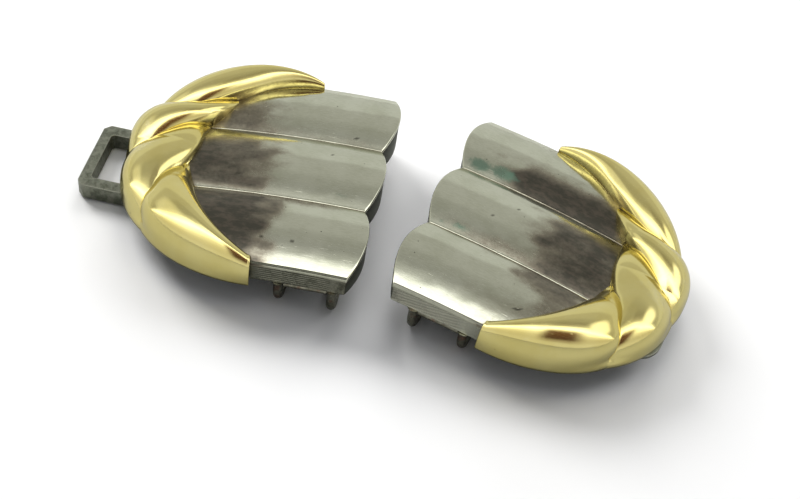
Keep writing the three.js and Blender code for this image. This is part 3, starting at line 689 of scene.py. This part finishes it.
def build_face(side):
    columns = pleat_columns(HALF_WIDTH, 40)
    for s in (-1, 1):
        columns |= set(np.round(s * VALLEY_Y + np.linspace(-0.46, 0.22, 15), 4))
        columns |= set(np.round(s * (HALF_WIDTH - EDGE_STEPS), 4))
    columns = np.array(sorted(columns))
    start = end_edge(columns)
    end = inner_edge(columns) + TUCK
    x = np.concatenate([
        start + EDGE_STEPS[:, None],
        (start + 0.5) + (end - start - 0.5) * np.linspace(0.02, 1, 80)[:, None]])
    y = np.broadcast_to(columns, x.shape)
    top = face_top(x, y)
    for s in (-1, 1):                     # a fine groove and ridge along each valley
        from_valley = y - s * VALLEY_Y
        top = top - 0.20 * bell(from_valley, -0.17, 0.09) + 0.05 * bell(from_valley, 0.03, 0.09)
    seed = 11 if side == "left" else 29
    top = top + 0.010 * waves(x, y, seed, size=5.0)
    top = top + 0.0035 * waves(x * 0.4, y, seed + 1, size=1.6)
    rounded = rounding(x - start, 0.30) + rounding(HALF_WIDTH - np.abs(y), 0.30)
    top = top - np.minimum(rounded, 0.55)
    spots = np.zeros_like(x)
    for x0, y0, reach_x, reach_y in SPOTS[side]:
        away = ((x - x0) / (reach_x * 1.6)) ** 2 + ((y - y0) / (reach_y * 1.6)) ** 2
        spots = np.maximum(spots, (away < 1) * 1.0)
    add_part(side, "pleated_face", slab(x, y, top, face_top(x, y) - SHEET), SILVER[side],
             "fluted_face", sharp=42, tarn=both_skins(face_tarnish(side, x, y, seed), 0.5),
             teal=both_skins(blotches(x, y, TEAL[side]), 0), spot=both_skins(spots, 0))


# ---------------------------------------------------------------- cast frame
def build_frame(side):
    """Casting under the face, hollowed from below by a pocket."""
    limit = HALF_WIDTH - 0.16
    pocket_y = HALF_WIDTH - FRAME_WALL
    edge = 0.22                           # radius of the outer edges
    gap = 0.04                            # width of the pocket's steep wall
    columns = pleat_columns(limit, 30)
    for s in (-1, 1):
        columns |= {round(s * pocket_y, 4), round(s * (pocket_y + gap), 4)}
        columns |= {round(s * (limit - step), 4) for step in (0.08, edge, 0.03)}
    columns = np.array(sorted(columns))
    start = end_edge(columns) + 0.12
    pocket_start = end_edge(columns) + FRAME_WALL + 0.2
    end = inner_edge(columns) + 0.2
    pocket_end = np.minimum(25.0, inner_edge(columns) - 1.5)
    rows = [start + step for step in (0, 0.03, 0.08, edge)]
    rows += [start + edge + (pocket_start - gap - start - edge) * t
             for t in np.linspace(0.3, 1, 4)]
    rows += [pocket_start + (pocket_end - pocket_start) * t for t in np.linspace(0, 1, 36)]
    rows += [pocket_end + gap + (end - pocket_end - gap) * t for t in np.linspace(0, 1, 6)]
    x = np.array(rows)
    y = np.broadcast_to(columns, x.shape)
    rounded = rounding(np.minimum(x - start, limit - np.abs(y)), edge)
    roof = face_top(x, y) - FRAME_GAP
    pocket = ((x > pocket_start - 0.01) & (x < pocket_end + 0.01)
              & (np.abs(y) < pocket_y + 0.01))
    bottom = np.where(pocket, roof - 0.9, frame_bottom(x) + rounded)
    grime = np.concatenate([np.full(x.size, 0.75), np.where(pocket, 0.85, 0.1).ravel()])
    end_grime = (np.exp(-(x - start) / 1.2) * 0.9).ravel()
    grime = np.maximum(grime, np.concatenate([end_grime, end_grime]))
    add_part(side, "frame_casting", slab(x, y, roof - rounded, bottom), FRAME, "base_frame",
             grime=grime)
    build_shelf(side, pocket_y)


def build_shelf(side, pocket_y):
    """Horseshoe shelf that carries the crescent; the pocket is open under the face."""
    inset = 2.35
    reach = acos((17.6 - RIM_X) / (RIM_LENGTH - inset))
    angles = np.linspace(-reach, reach, 90)
    rim = np.c_[RIM_X + (RIM_LENGTH - inset) * np.cos(angles),
                (RIM_WIDTH - inset) * np.sin(angles)]
    across = np.linspace(-pocket_y, pocket_y, 60)
    inside = np.c_[np.minimum(24.98, inner_edge(across) - 1.48), across]
    inside = inside[inside[:, 0] > 17.7]
    outline = np.concatenate([rim, inside[::-1]])
    shelf = add_part(side, "frame_shelf", prism(outline, BOTTOM_MIN, BOTTOM_MIN + 1.35), FRAME,
                     grime=0.25)
    round_edges(shelf, width=0.18, segments=2, angle=50)


def zigzag(value):
    """0 at whole numbers, 1 halfway between."""
    return 2 * np.abs(value - np.floor(value + 0.5))


def build_bands(side):
    """Engraved band on each long side; rows run down from the frame's top edge."""
    start, end = 0.10, 17.5
    line = np.linspace(start, end, 620)
    part_down = np.concatenate([[0, 0.03, 0.08, 0.15, 0.23], np.linspace(0.29, 0.52, 6),
                                np.linspace(0.56, 3.25, 64)]) / 3.25
    x = np.repeat(line[None], len(part_down), 0)
    roof = face_top(line, np.full_like(line, HALF_WIDTH)) - FRAME_GAP
    tall = roof - frame_bottom(line)
    down = tall * part_down[:, None]
    if side == "right":                   # slanting cuts
        depth = 0.110 * (1 - rise(x, 9.0, 15.5)) + 0.012
        slant = zigzag((x + down * 1.05 + 0.02 * waves(x, down, 3, size=2.0)) / 0.44)
        relief = -depth * rise(slant, 0.25, 0.8)
    else:                                 # slanting cuts at the end, then lengthways lines
        depth = 0.075 * (1 - rise(x, 12.0, 16.5)) + 0.012
        lines = zigzag((down + 0.03 * waves(x, down, 8, size=6.0)) / 0.46)
        slant = zigzag((x + down * 1.05) / 0.32)
        at_end = 1 - rise(x, 2.2, 3.6)
        relief = -depth * (at_end * rise(slant, 0.25, 0.8)
                           + (1 - at_end) * rise(lines, 0.3, 0.85))
    engraved = rise(down, 0.46, 0.60) * (1 - rise(down, tall - 0.42, tall - 0.26))
    relief = relief * engraved - 0.10 * bell(down, 0.42, 0.09)
    # the band's own edges fall away
    from_edge = np.minimum(down, tall - down)
    relief = relief - 0.14 * np.clip(1 - from_edge / 0.12, 0, 1) ** 2
    from_end = np.minimum(x - start, end - x)
    relief = relief - 0.12 * np.clip(1 - from_end / 0.10, 0, 1) ** 2
    z = roof - down
    back = np.full_like(x, HALF_WIDTH - 0.30)
    grime = np.clip(0.95 * rise(-relief, 0.02, 0.085) + 0.5 * rise(x, 12, 17), 0, 1)
    for s, label in ((-1, "near"), (1, "far")):
        points, faces = grid_solid(np.stack([x, s * (HALF_WIDTH + relief), z], -1),
                                   np.stack([x, s * back, z], -1))
        add_part(side, f"{label}_side_band", (points, facing_out(points, faces)), BAND[side],
                 sharp=None, grime=both_skins(grime, 0.9))


# ------------------------------------------------------------ gold crescent
def crease_lines(steps):
    """Crease places along the crescent at each step, rounded where the knots meet."""
    fine = np.linspace(0, 1, 401)
    kernel = np.hanning(75)
    lines = []
    for knots, places in CREASES:
        line = np.interp(fine, knots, places)
        extended = np.concatenate([line[0] - (line[40:0:-1] - line[0]), line,
                                   line[-1] - (line[-2:-42:-1] - line[-1])])
        line = np.convolve(extended, kernel / kernel.sum(), "same")[40:-40]
        lines.append(np.interp(steps, fine, line))
    return np.array(lines)


def crescent_grid(steps, creases):
    """Rows that follow the creases: place along, and place across the strand (-1 .. 1)."""
    far, middle, near = creases
    one = np.ones_like(steps)
    horn_steps = np.linspace(0, 1, 171) ** 1.25
    strand_steps = 0.5 * (1 - np.cos(np.pi * np.linspace(0, 1, 111)))
    rows, phases = [], []
    for k in 1 - horn_steps[::-1]:
        rows.append(-one + (near + 1) * k)
        phases.append(0.5 + 0.5 * (1 - np.clip((near - rows[-1]) / 0.36, 0, 1)) ** 2)
    for low, high in ((near, middle), (middle, far)):
        for k in strand_steps[1:]:
            rows.append(low + (high - low) * k)
            phases.append(one * k)
    for k in horn_steps[1:]:
        rows.append(far + (1 - far) * k)
        phases.append(0.5 - 0.5 * (1 - np.clip((rows[-1] - far) / 0.34, 0, 1)) ** 2)
    return np.array(rows), 2 * np.array(phases) - 1


def crescent_dirt_and_shade(along, across, creases):
    """Dirt and painted shade in the creases, and painted shade along the inner edge where the
    gold sits on the silver.
    """
    dirt = np.zeros_like(along)
    # amount, width along, reach across
    marks = ((1.0, 0.012, 0.30), (0.75, 0.008, 0.20), (0.6, 0.007, 0.14))
    # dirt and painted shade in the creases
    for crease, (amount, width, reach) in zip(creases, marks):
        dirt = np.maximum(dirt, amount * bell(along, crease, width) * bell(across, 0, reach))
    dirt = np.maximum(dirt, 0.75 * bell(along, 0.29, 0.05) * bell(across, 0, 0.10))
    dirt = np.maximum(dirt, 0.60 * bell(along, -0.10, 0.03) * bell(across, 0, 0.06))
    # painted shade: a dark line along the inner edge, where the gold meets the silver
    dirt = np.maximum(dirt, 0.95 * bell(across, 0, 0.028))
    # painted shade on the far horn's inner side
    far_horn = rise(along, 0.30, 0.45) * (1 - rise(along, 0.90, 0.98))
    return np.maximum(dirt, 0.56 * bell(across, 0.10, 0.07) * far_horn)


def crescent_rings(flattening):
    """Closed rings round the hollow section, each strand a bulge, and their dirt and painted
    shade.
    """
    steps = np.concatenate([CREST_AT * np.arange(35) / 34,
                            CREST_AT + (1 - CREST_AT) * np.arange(1, 47) / 46])
    creases = crease_lines(steps)
    along, bulge = crescent_grid(steps, creases)
    across = np.broadcast_to(steps, along.shape)
    far = along > 0
    tips = np.abs(along)

    # plan: inner edge, rim, and the unit direction between them
    inner_angle = np.radians(np.where(far, INNER_FAR, INNER_NEAR) * along)
    rim_angle = np.radians(np.where(far, RIM_FAR, RIM_NEAR) * along)
    radius = INNER_RADIUS - 0.5 * along ** 6
    inner_x, inner_y = INNER_X + radius * np.cos(inner_angle), radius * np.sin(inner_angle)
    swell = 0.85 * bell(along, 0.17, 0.13)   # the strand here stands proud of the outline
    rim_x = RIM_X + RIM_LENGTH * np.cos(rim_angle) + swell * np.cos(rim_angle)
    rim_y = RIM_WIDTH * np.sin(rim_angle) + swell * np.sin(rim_angle)
    width = np.hypot(rim_x - inner_x, rim_y - inner_y)
    way_x, way_y = (rim_x - inner_x) / width, (rim_y - inner_y) / width

    # crest line
    crest = (0.44 - 0.08 * rise(-along, 0.30, 0.60)) * width
    tip = np.where(far, TIP_FAR, TIP_NEAR)
    crest_z = (VALLEY_Z - drop(inner_x + way_x * crest) + tip
               + (CREST - tip) * (1 - tips ** 3.5)
               - side_arch(along) * (np.maximum(0, tips - 0.5) / 0.5) ** 2)
    far_hump = np.maximum(0, np.sin(np.pi * np.clip(along, 0, 1))) ** 0.7
    crest_z = crest_z + np.where(far, FAR_LIFT * far_hump, 0)
    inner_z = face_top(inner_x, np.clip(inner_y, -HALF_WIDTH, HALF_WIDTH)) + 0.10
    crest_z = np.maximum(crest_z, inner_z + 0.25)

    # smooth section: distance out from the inner edge, and height
    climb = np.pi / 2 * np.clip(across / CREST_AT, 0, 1)
    fall = np.pi / 2 * np.clip((across - CREST_AT) / (1 - CREST_AT), 0, 1)
    inside = across <= CREST_AT
    out = np.where(inside, crest * (1 - np.maximum(0, np.cos(climb))),
                   crest + (width - crest) * np.sin(fall))
    z = np.where(inside,
                 inner_z + (crest_z - inner_z) * np.maximum(0, np.sin(climb)) ** 0.9,
                 RIM_Z + (crest_z - RIM_Z) * np.maximum(0, np.cos(fall)) ** 0.78)
    # the near side carries a broad flattened slope below its crest
    past = np.clip((out - crest) / (width - crest), 0, 1)
    z = z - (flattening * (crest_z - RIM_Z) * bell(past, 0.42, 0.30)
             * rise(-along, -0.05, 0.20) * rise(past, 0.0, 0.15))

    # press the creases in towards the middle of the section
    full = 0.88 * (1 - bulge ** 2) + 0.12 * np.sqrt(np.clip(1 - bulge ** 2, 0, 1))
    deep = (CREASE_DEPTH * (1 - 0.40 * rise(across, 0.5, 1.0))
            * (1 - 0.5 * rise(tips, 0.55, 0.9)))
    depth = (deep * (1 - full) * (0.60 + 0.40 * rise(across, -0.02, 0.08))
             * (1 - 0.5 * rise(across, 0.95, 1.0)))
    middle, middle_z = 0.5 * width, RIM_Z + 2.2
    reach = np.hypot(out - middle, z - middle_z)
    wall = np.minimum(GOLD_WALL, 0.22 * width)
    outer_part = np.maximum(0, (reach - depth) / reach)
    inner_part = np.maximum(0.05, (reach - depth - wall) / reach)
    outer = middle + (out - middle) * outer_part
    outer_z = middle_z + (z - middle_z) * outer_part
    outer_z[:, -1] = RIM_Z + 0.06
    hollow = (middle + (out - middle) * inner_part)[:, ::4][:, ::-1]
    hollow_z = (middle_z + (z - middle_z) * inner_part)[:, ::4][:, ::-1]
    hollow_z = np.maximum(hollow_z, RIM_Z)

    # go round: outer skin, foot at the rim, hollow, lip at the inner edge
    edge, lip, lip_z = outer[:, -1:], outer[:, :1], inner_z[:, :1]
    foot = np.full_like(edge, RIM_Z)
    section = np.concatenate([outer[:, 1:], edge - 0.10, edge - 0.30, hollow[:, 1:-1],
                              lip + 0.35, lip + 0.10, lip], 1)
    section_z = np.concatenate([outer_z[:, 1:], foot, foot, hollow_z[:, 1:-1],
                                lip_z - 0.35, lip_z - 0.33, lip_z - 0.2], 1)
    # the section planes turn along the crescent, so each point keeps its own plane
    count = len(steps)
    pick = np.concatenate([np.arange(1, count), [-1, -1],
                           np.arange(count)[::4][::-1][1:-1], [0, 0, 0]])
    rings = np.stack([inner_x[:, pick] + way_x[:, pick] * section,
                      inner_y[:, pick] + way_y[:, pick] * section, section_z], -1)
    dirt = crescent_dirt_and_shade(along, across, creases)[:, 1:]
    clean = np.zeros((len(along), section.shape[1] - count + 1))
    return rings, np.concatenate([dirt, clean], 1)


def build_crescent(side):
    rings, dirt = crescent_rings(flattening=0.022 if side == "left" else 0.008)
    # the dirt attribute holds dirt and painted shade
    add_part(side, "crescent_casting", loft(rings), GOLD[side], "gold_crescent", sharp=None,
             dirt=np.concatenate([dirt.ravel(), [0.2, 0.2]]))


# ------------------------------------------------------- wire bars and rails
def build_bars(side):
    """Two bars across, bent up to the frame at both ends, and two rails along it."""
    turn = 2.3                            # reach of the bend
    low = WIRE_RADIUS
    for which, x in zip(("inner", "outer"), BARS_X[side]):
        top = float(frame_bottom(x + WIRE_RADIUS)) + 0.02
        heights = [top, top - 0.25, top - 0.6, *np.linspace(top - 1.0, low + turn + 0.1, 4)]
        post = [(x, -BAR_Y, z) for z in heights]
        post += bend((x, -BAR_Y, low + turn), (x, -BAR_Y, low), (x, -BAR_Y + turn, low))
        run = BAR_Y - turn - 0.8
        path = post + [(x + 0.10 * sin(y * 0.31 + x), y, low) for y in np.linspace(-run, run, 40)]
        path += [(px, -py, pz) for px, py, pz in reversed(post)]
        radius = np.full(len(path), WIRE_RADIUS)
        radius[[0, -1]] = WIRE_RADIUS + 0.42   # flared where it meets the frame
        radius[[1, -2]] = WIRE_RADIUS + 0.14
        add_part(side, f"{which}_bar", tube(path, radius, sides=28), WIRE,
                 f"{which}_strap_bar", sharp=60)
    start, end = BARS_X[side][0] + 0.9, BARS_X[side][1] - 0.9
    for s, label in ((-1, "near"), (1, "far")):
        path = [(x, s * BAR_Y, float(frame_bottom(x)) - 0.2 - RAIL_RADIUS)
                for x in np.linspace(start, end, 24)]
        add_part(side, f"{label}_rail", tube(path, RAIL_RADIUS, sides=20), WIRE,
                 f"{label}_bar_rail", sharp=60)


# -------------------------------------------------------- backing and studs
def build_backing(side):
    """Thin sheet closing the frame from below, its middle raised."""
    limit = HALF_WIDTH - FRAME_WALL - 0.3
    columns = np.concatenate([np.linspace(-limit, -limit + 0.4, 4),
                              np.linspace(-limit + 1.0, limit - 1.0, 60),
                              np.linspace(limit - 0.4, limit, 4)])
    start = end_edge(columns) + FRAME_WALL + 0.55
    end = np.minimum(24.6, inner_edge(columns) - 1.9)
    rows = np.concatenate([[0, 0.008, 0.018], np.linspace(0.04, 0.96, 44), [0.982, 0.992, 1.0]])
    x = start + (end - start) * rows[:, None]
    y = np.broadcast_to(columns, x.shape)
    inside = np.minimum(np.minimum(x - start, end - x), limit - np.abs(y))
    panel = 0.18 * rise(inside, 1.5, 2.1)
    bottom = frame_bottom(x) + 0.3 + panel + 0.12 * np.clip(1 - inside / 0.35, 0, 1) ** 2
    add_part(side, "backing", slab(x, y, bottom + 0.5, bottom), BACKING, "back_plate")


def stud(x, y, bottom, top, shank, head, head_height, sides=36):
    """Domed head below, shank above; shank and head are radii."""
    shoulder = bottom + head_height
    dome = [(head * sin(a), bottom + head_height * 0.75 * (1 - cos(a)))
            for a in np.linspace(0, pi / 2, 9)]
    profile = dome + [(head, shoulder), (head - 0.05, shoulder + 0.04),
                      (shank, shoulder + 0.05), (shank, top - 0.1), (shank - 0.1, top), (0, top)]
    return lathe(x, y, profile, sides)


def build_studs(side):
    # name, x, y, bottom, top
    for name, x, y, bottom, top in (("near", 26.5, -17.0, 4.2, 10.0),
                                    ("far", 26.5, 17.0, 4.2, 10.0),
                                    ("end", END_STUD_X, 0.0, 3.0, 9.6)):
        shape = stud(x, y, bottom, top, shank=0.9, head=1.6, head_height=0.65)
        add_part(side, f"{name}_stud", shape, RIVETS, f"{name}_crescent_rivet", sharp=50)
    holder = "eye_bracket" if side == "left" else "hook"
    for name, y in (("near", -8.0), ("far", 8.0)):
        shape = stud(28.2, y, 3.1, 6.4, shank=0.6, head=1.2, head_height=0.55, sides=28)
        add_part(side, f"{holder}_{name}_stud", shape, RIVETS, f"{holder}_rivet_{name}",
                 sharp=50)


# ------------------------------------------------------------- eye and hook
def ray_loop(polygon, centre, angles):
    """Where rays from the centre at these angles cross a convex polygon."""
    polygon = np.asarray(polygon, float)
    loop = []
    for angle in angles:
        ray = np.array([cos(angle), sin(angle)])
        hits = []
        for start, end in zip(polygon, np.roll(polygon, -1, 0)):
            matrix = np.column_stack([ray, start - end])
            if abs(np.linalg.det(matrix)) < 1e-9:
                continue
            distance, part = np.linalg.solve(matrix, start - centre)
            if distance > 0 and -1e-7 <= part <= 1 + 1e-7:
                hits.append(distance)
        loop.append(centre + ray * min(hits))
    return np.array(loop)


def build_eye():
    """Rectangular loop with a hollow barrel round the hinge pin, and the pin."""
    half, end, corner = EYE_WIDTH / 2, 50.5, 1.1
    root = PIN_X + 0.9
    outer = [(root, -half), (end - corner, -half), (end, -half + corner),
             (end, half - corner), (end - corner, half), (root, half)]
    x0, x1, hole, cut = PIN_X + 1.8, end - 1.9, 11.2 / 2, 0.45
    inner = [(x0 + cut, -hole), (x1 - cut, -hole), (x1, -hole + cut), (x1, hole - cut),
             (x1 - cut, hole), (x0 + cut, hole), (x0, hole - cut), (x0, -hole + cut)]
    centre = np.array([(x0 + x1) / 2, 0.0])
    # both outlines are cut at the same angles: every corner, and even steps between
    angles = {round(atan2(y - centre[1], x - centre[0]), 6) for x, y in outer + inner}
    angles = sorted(angles | set(np.round(np.linspace(-pi + 0.05, pi - 0.05, 26), 6)))
    kept = [angles[0]]
    for angle in angles[1:]:
        if angle - kept[-1] > 0.012:
            kept.append(angle)
    shape = prism(ray_loop(outer, centre, kept), PIN_Z - 1.6, PIN_Z + 1.6,
                  ray_loop(inner, centre, kept))
    loop = add_part("left", "eye_loop", shape, DARK, "clasp_eye", body="clasp_eye")
    round_edges(loop, width=0.22, segments=3, angle=30)

    turn = 2 * pi * np.arange(48) / 48
    # barrel profile: y, radius
    profile = ((-half, 0.98), (-half, 1.45), (-half + 0.04, 1.55), (-half + 0.15, 1.6),
               (half - 0.15, 1.6), (half - 0.04, 1.55), (half, 1.45), (half, 0.98))
    points = np.concatenate([
        np.stack([PIN_X + r * np.cos(turn), np.full(48, y), PIN_Z + r * np.sin(turn)], -1)
        for y, r in profile])
    index = np.arange(len(points)).reshape(-1, 48)
    faces = ring_faces(np.concatenate([index, index[:1]]))
    add_part("left", "eye_barrel", (points, facing_out(points, faces)), DARK, body="clasp_eye")

    # pin with upset ends
    tip = BRACKET_HALF + 0.4
    ends = np.array([0, 0.05, 0.22, 0.34, 0.36])
    end_radii = [0.55, 0.78, 0.78, 0.78, 0.65]
    places = [*(-tip + ends), *np.linspace(-tip + 0.6, tip - 0.6, 6), *(tip - ends[::-1])]
    shape = tube([(PIN_X, y, PIN_Z) for y in places],
                 end_radii + [0.65] * 6 + end_radii[::-1], sides=24)
    add_part("left", "hinge_pin", shape, DARK, "eye_hinge_pin", sharp=50)


def build_plate(side, part, stands_for, start, half, end_points, edge):
    """Flat plate with two rounded corners at its start."""
    r = PLATE_CORNER

    def corner(y, angle):
        return [(start + r + r * cos(a), y + r * sin(a))
                for a in np.linspace(angle, angle + pi / 2, 6)]

    loop = corner(-half + r, pi) + end_points + corner(half - r, pi / 2)
    plate = add_part(side, part, prism(loop, *PLATE_Z), DARK, stands_for)
    round_edges(plate, width=edge, segments=2, angle=40)


def build_bracket():
    """Plate under the left crescent, with a lug at each end of the eye's barrel."""
    end, half = PIN_X + 1.2, BRACKET_HALF
    build_plate("left", "bracket_plate", "eye_bracket", 26.4, half,
                [(end, -half), (end, half)], edge=0.12)
    # lug side outline: x, z
    profile = [(PIN_X - 0.25 + 1.45 * cos(a), PIN_Z + 1.45 * sin(a))
               for a in np.linspace(pi, 2 * pi, 22)] + [(end, 4.1), (PIN_X - 1.7, 4.1)]
    n = len(profile)
    faces = [list(range(n)), list(range(2 * n - 1, n - 1, -1))]
    faces += [[i, n + i, n + (i + 1) % n, (i + 1) % n] for i in range(n)]
    for s, label in ((-1, "near"), (1, "far")):
        sides = sorted((s * (EYE_WIDTH / 2 + LUG_GAP), s * half))
        points = [(x, y, z) for y in sides for x, z in profile]
        lug = add_part("left", f"bracket_lug_{label}", (points, faces), DARK)
        round_edges(lug, width=0.12, segments=2, angle=40)


# finger centre line: x, z
FINGER = np.array([(39.6, 4.25), (40.6, 4.22), (41.3, 3.98), (41.72, 3.45), (41.80, 2.7),
                   (41.78, 2.0), (41.62, 1.45), (41.15, 1.12), (40.5, 1.02)])


def build_hook():
    """Plate under the right crescent, and a finger bent down and turned in at its tip."""
    half, end, reach = 22.6 / 2, 43.1, 5.5
    end_points = bend((end - reach, -half), (end, -half), (end, -half + reach))
    end_points += bend((end, half - reach), (end, half), (end - reach, half))
    build_plate("right", "hook_plate", "clasp_hook", 26.2, half, end_points, edge=0.14)

    count = 40
    at = np.linspace(0, len(FINGER) - 1, count)
    line = np.stack([np.interp(at, range(len(FINGER)), FINGER[:, i]) for i in (0, 1)], -1)
    for _ in range(6):
        line[1:-1] = (line[:-2] + line[1:-1] * 2 + line[2:]) / 4
    tangents = np.gradient(line, axis=0)
    tangents /= np.hypot(tangents[:, 0], tangents[:, 1])[:, None]
    thick, wide, corner = 0.50, 4.5, 0.16   # half thickness, half width, corner radius
    rings = []
    for k in range(count):
        (x, z), (tangent_x, tangent_z) = line[k], tangents[k]
        half = wide * (1 - 0.12 * (k / (count - 1)) ** 3)
        ring = []
        # corner signs across and through the strip, and the corner's first angle
        for across, through, base in ((-1, -1, pi), (1, -1, 1.5 * pi), (1, 1, 0),
                                      (-1, 1, 0.5 * pi)):
            for angle in base + np.linspace(0, pi / 2, 4):
                y = across * (half - corner) + corner * cos(angle)
                off = through * (thick - corner) + corner * sin(angle)
                ring.append((x - tangent_z * off, y, z + tangent_x * off))
        rings.append(ring)
    add_part("right", "hook_finger", loft(rings), DARK, sharp=50)


for side in ("left", "right"):
    build_face(side)
    build_frame(side)
    build_bands(side)
    build_crescent(side)
    build_bars(side)
    build_backing(side)
    build_studs(side)
build_eye()
build_bracket()
build_hook()

# -------------------------------------------------------------------- stage
scene = bpy.context.scene
TABLE = 1.2                               # half the table's side, in metres


def build_table():
    """White table, darker where the metal reflects it."""
    mesh = bpy.data.meshes.new("table_top")
    corners = [(x * TABLE, y * TABLE, 0) for x, y in ((-1, -1), (1, -1), (1, 1), (-1, 1))]
    mesh.from_pydata(corners, [], [(0, 1, 2, 3)])
    table = bpy.data.objects.new("table_top", mesh)
    scene.collection.objects.link(table)
    mat = Graph(bpy.data.materials.new("table_white"))
    colour = mat.mix(mat.node("LightPath", output="Is Glossy Ray"),
                     rgb(0.90, 0.90, 0.90), rgb(0.52, 0.525, 0.505))
    mesh.materials.append(mat.surface(Base_Color=colour, Roughness=0.75,
                                      Specular_IOR_Level=0.15))


# studio reflections: degrees from the far horizon (0) over the top to the near one, colour
LOW_STOPS = [(0, (0.70, 0.71, 0.68)), (30, (0.72, 0.73, 0.70)), (34.5, (0.71, 0.72, 0.69)),
             (36.5, (0.57, 0.57, 0.54)), (58, (0.55, 0.55, 0.52)), (70, (0.455, 0.455, 0.425))]
LEFT_STOPS = LOW_STOPS + [
    (82, (0.445, 0.445, 0.425)), (92, (0.70, 0.70, 0.68)), (103, (2.1, 2.1, 2.1)),
    (112, (3.0, 3.0, 3.0)), (121, (2.1, 2.1, 2.05)), (134, (1.15, 1.13, 1.06)),
    (148, (0.84, 0.81, 0.74)), (160, (0.76, 0.74, 0.70)), (170, (0.80, 0.79, 0.77)),
    (180, (0.86, 0.86, 0.85))]
RIGHT_STOPS = LOW_STOPS + [
    (84, (0.35, 0.34, 0.31)), (94, (0.55, 0.54, 0.51)), (101, (2.1, 2.1, 2.1)),
    (108, (2.8, 2.8, 2.8)), (117, (0.70, 0.60, 0.48)), (123, (0.17, 0.085, 0.06)),
    (150, (0.11, 0.058, 0.045)), (160, (0.46, 0.42, 0.38)), (170, (0.76, 0.75, 0.73)),
    (180, (0.82, 0.82, 0.81))]
STUDIO_STRENGTH = 3.2                     # stops are divided by it, to stay below 1


def studio_ramp(graph, angle, stops):
    colours = graph.node("ValToRGB", angle)
    ramp = colours.socket.node.color_ramp
    ramp.interpolation = "EASE"
    while len(ramp.elements) > 1:
        ramp.elements.remove(ramp.elements[-1])
    for i, (degrees, colour) in enumerate(stops):
        stop = ramp.elements[0] if i == 0 else ramp.elements.new(degrees / 180)
        stop.position = degrees / 180
        stop.color = (*[c / STUDIO_STRENGTH for c in colour], 1)
    return colours


def build_world():
    """Even pale light, and a studio of pale and dark zones that only reflections see."""
    world = bpy.data.worlds.new("studio")
    scene.world = world
    sky = Graph(world)
    way = sky.node("TexCoord", output="Generated")
    x = sky.node("SeparateXYZ", way)
    angle = sky.math("ARCTAN2", x.output(2), x.output(1))
    angle = sky.math("DIVIDE", angle, pi)
    to_right = sky.fade(x, span=(-0.02, 0.16)) * (1.0 - sky.fade(x, span=(0.46, 0.72)) * 0.85)
    studio = sky.mix(to_right, studio_ramp(sky, angle, LEFT_STOPS),
                     studio_ramp(sky, angle, RIGHT_STOPS))
    # soft patches: direction, span of its cosine, amount, colour
    for direction, span, amount, colour in (
            ((0.78, 0.10, 0.62), (0.94, 0.99), 0.70, rgb(0.70, 0.70, 0.69)),
            ((-0.80, 0.05, 0.60), (0.93, 0.99), 0.25, rgb(0.63, 0.63, 0.61))):
        patch = sky.fade(sky.dot(way, Vector(direction).normalized()), span)
        studio = sky.mix(patch * amount, studio, colour)
    reflected = sky.node("Background", Color=studio, Strength=STUDIO_STRENGTH)
    diffuse = sky.node("Background", Color=rgb(0.93, 0.95, 1.0), Strength=0.20)
    seen = sky.node("Background", Color=rgb(1, 1, 1), Strength=1.05)
    glossy = sky.node("LightPath", output="Is Glossy Ray")
    light = sky.node("MixShader", glossy, diffuse, reflected)
    light = sky.node("MixShader", glossy.output("Is Camera Ray"), light, seen)
    sky.node("OutputWorld", light)
    world.cycles.sampling_method = "NONE"


# disks aimed at the clasp: name, place in metres, diameter, power, colour
LIGHTS = [
    ("soft_key_left", (-0.44, 0.34, 0.40), 0.36, 4.2, (1.0, 0.995, 0.98)),
    ("soft_key_right", (0.44, 0.34, 0.40), 0.36, 1.4, (1.0, 0.995, 0.98)),
    ("soft_back", (0.0, 0.50, 0.42), 0.46, 2.1, (1.0, 0.995, 0.975)),
    ("soft_fill", (0.0, 0.10, 0.70), 0.55, 0.75, (0.97, 0.98, 1.0)),
]
LIGHT_TARGET = Vector((0, 0, 0.006))


def build_lights():
    for name, place, size, power, colour in LIGHTS:
        light = bpy.data.lights.new(name, "AREA")
        light.shape = "DISK"
        light.size = size
        light.energy = power
        light.color = colour
        obj = bpy.data.objects.new(name, light)
        obj.location = place
        aim = LIGHT_TARGET - Vector(place)
        obj.rotation_euler = aim.to_track_quat("-Z", "Y").to_euler()
        obj.visible_glossy = False
        obj.visible_camera = False
        scene.collection.objects.link(obj)


def build_camera():
    """Camera looking down from the near side, rolled a little."""
    elevation, roll, distance = radians(48), radians(10.5), 0.2058
    level = Vector((0.9991, 0.0420, 0)).normalized()
    ahead = Vector((-level.y, level.x, 0))
    forward = ahead * cos(elevation) - Vector((0, 0, 1)) * sin(elevation)
    up = level.cross(forward)
    camera_x = level * cos(roll) + up * sin(roll)
    camera_y = up * cos(roll) - level * sin(roll)
    target = Vector((LEFT_X + 6.86, LEFT_Y - 7.45, 4.22)) / 1000
    camera = bpy.data.cameras.new("camera")
    camera.sensor_width = 36
    camera.lens = 54
    camera.clip_start = 0.01
    camera.clip_end = 10
    obj = bpy.data.objects.new("camera", camera)
    matrix = Matrix((camera_x, camera_y, -forward)).transposed().to_4x4()
    matrix.translation = target - forward * distance
    obj.matrix_world = matrix
    scene.collection.objects.link(obj)
    scene.camera = obj


build_table()
build_world()
build_lights()
build_camera()
scene.view_settings.view_transform = "Standard"
scene.view_settings.look = "None"
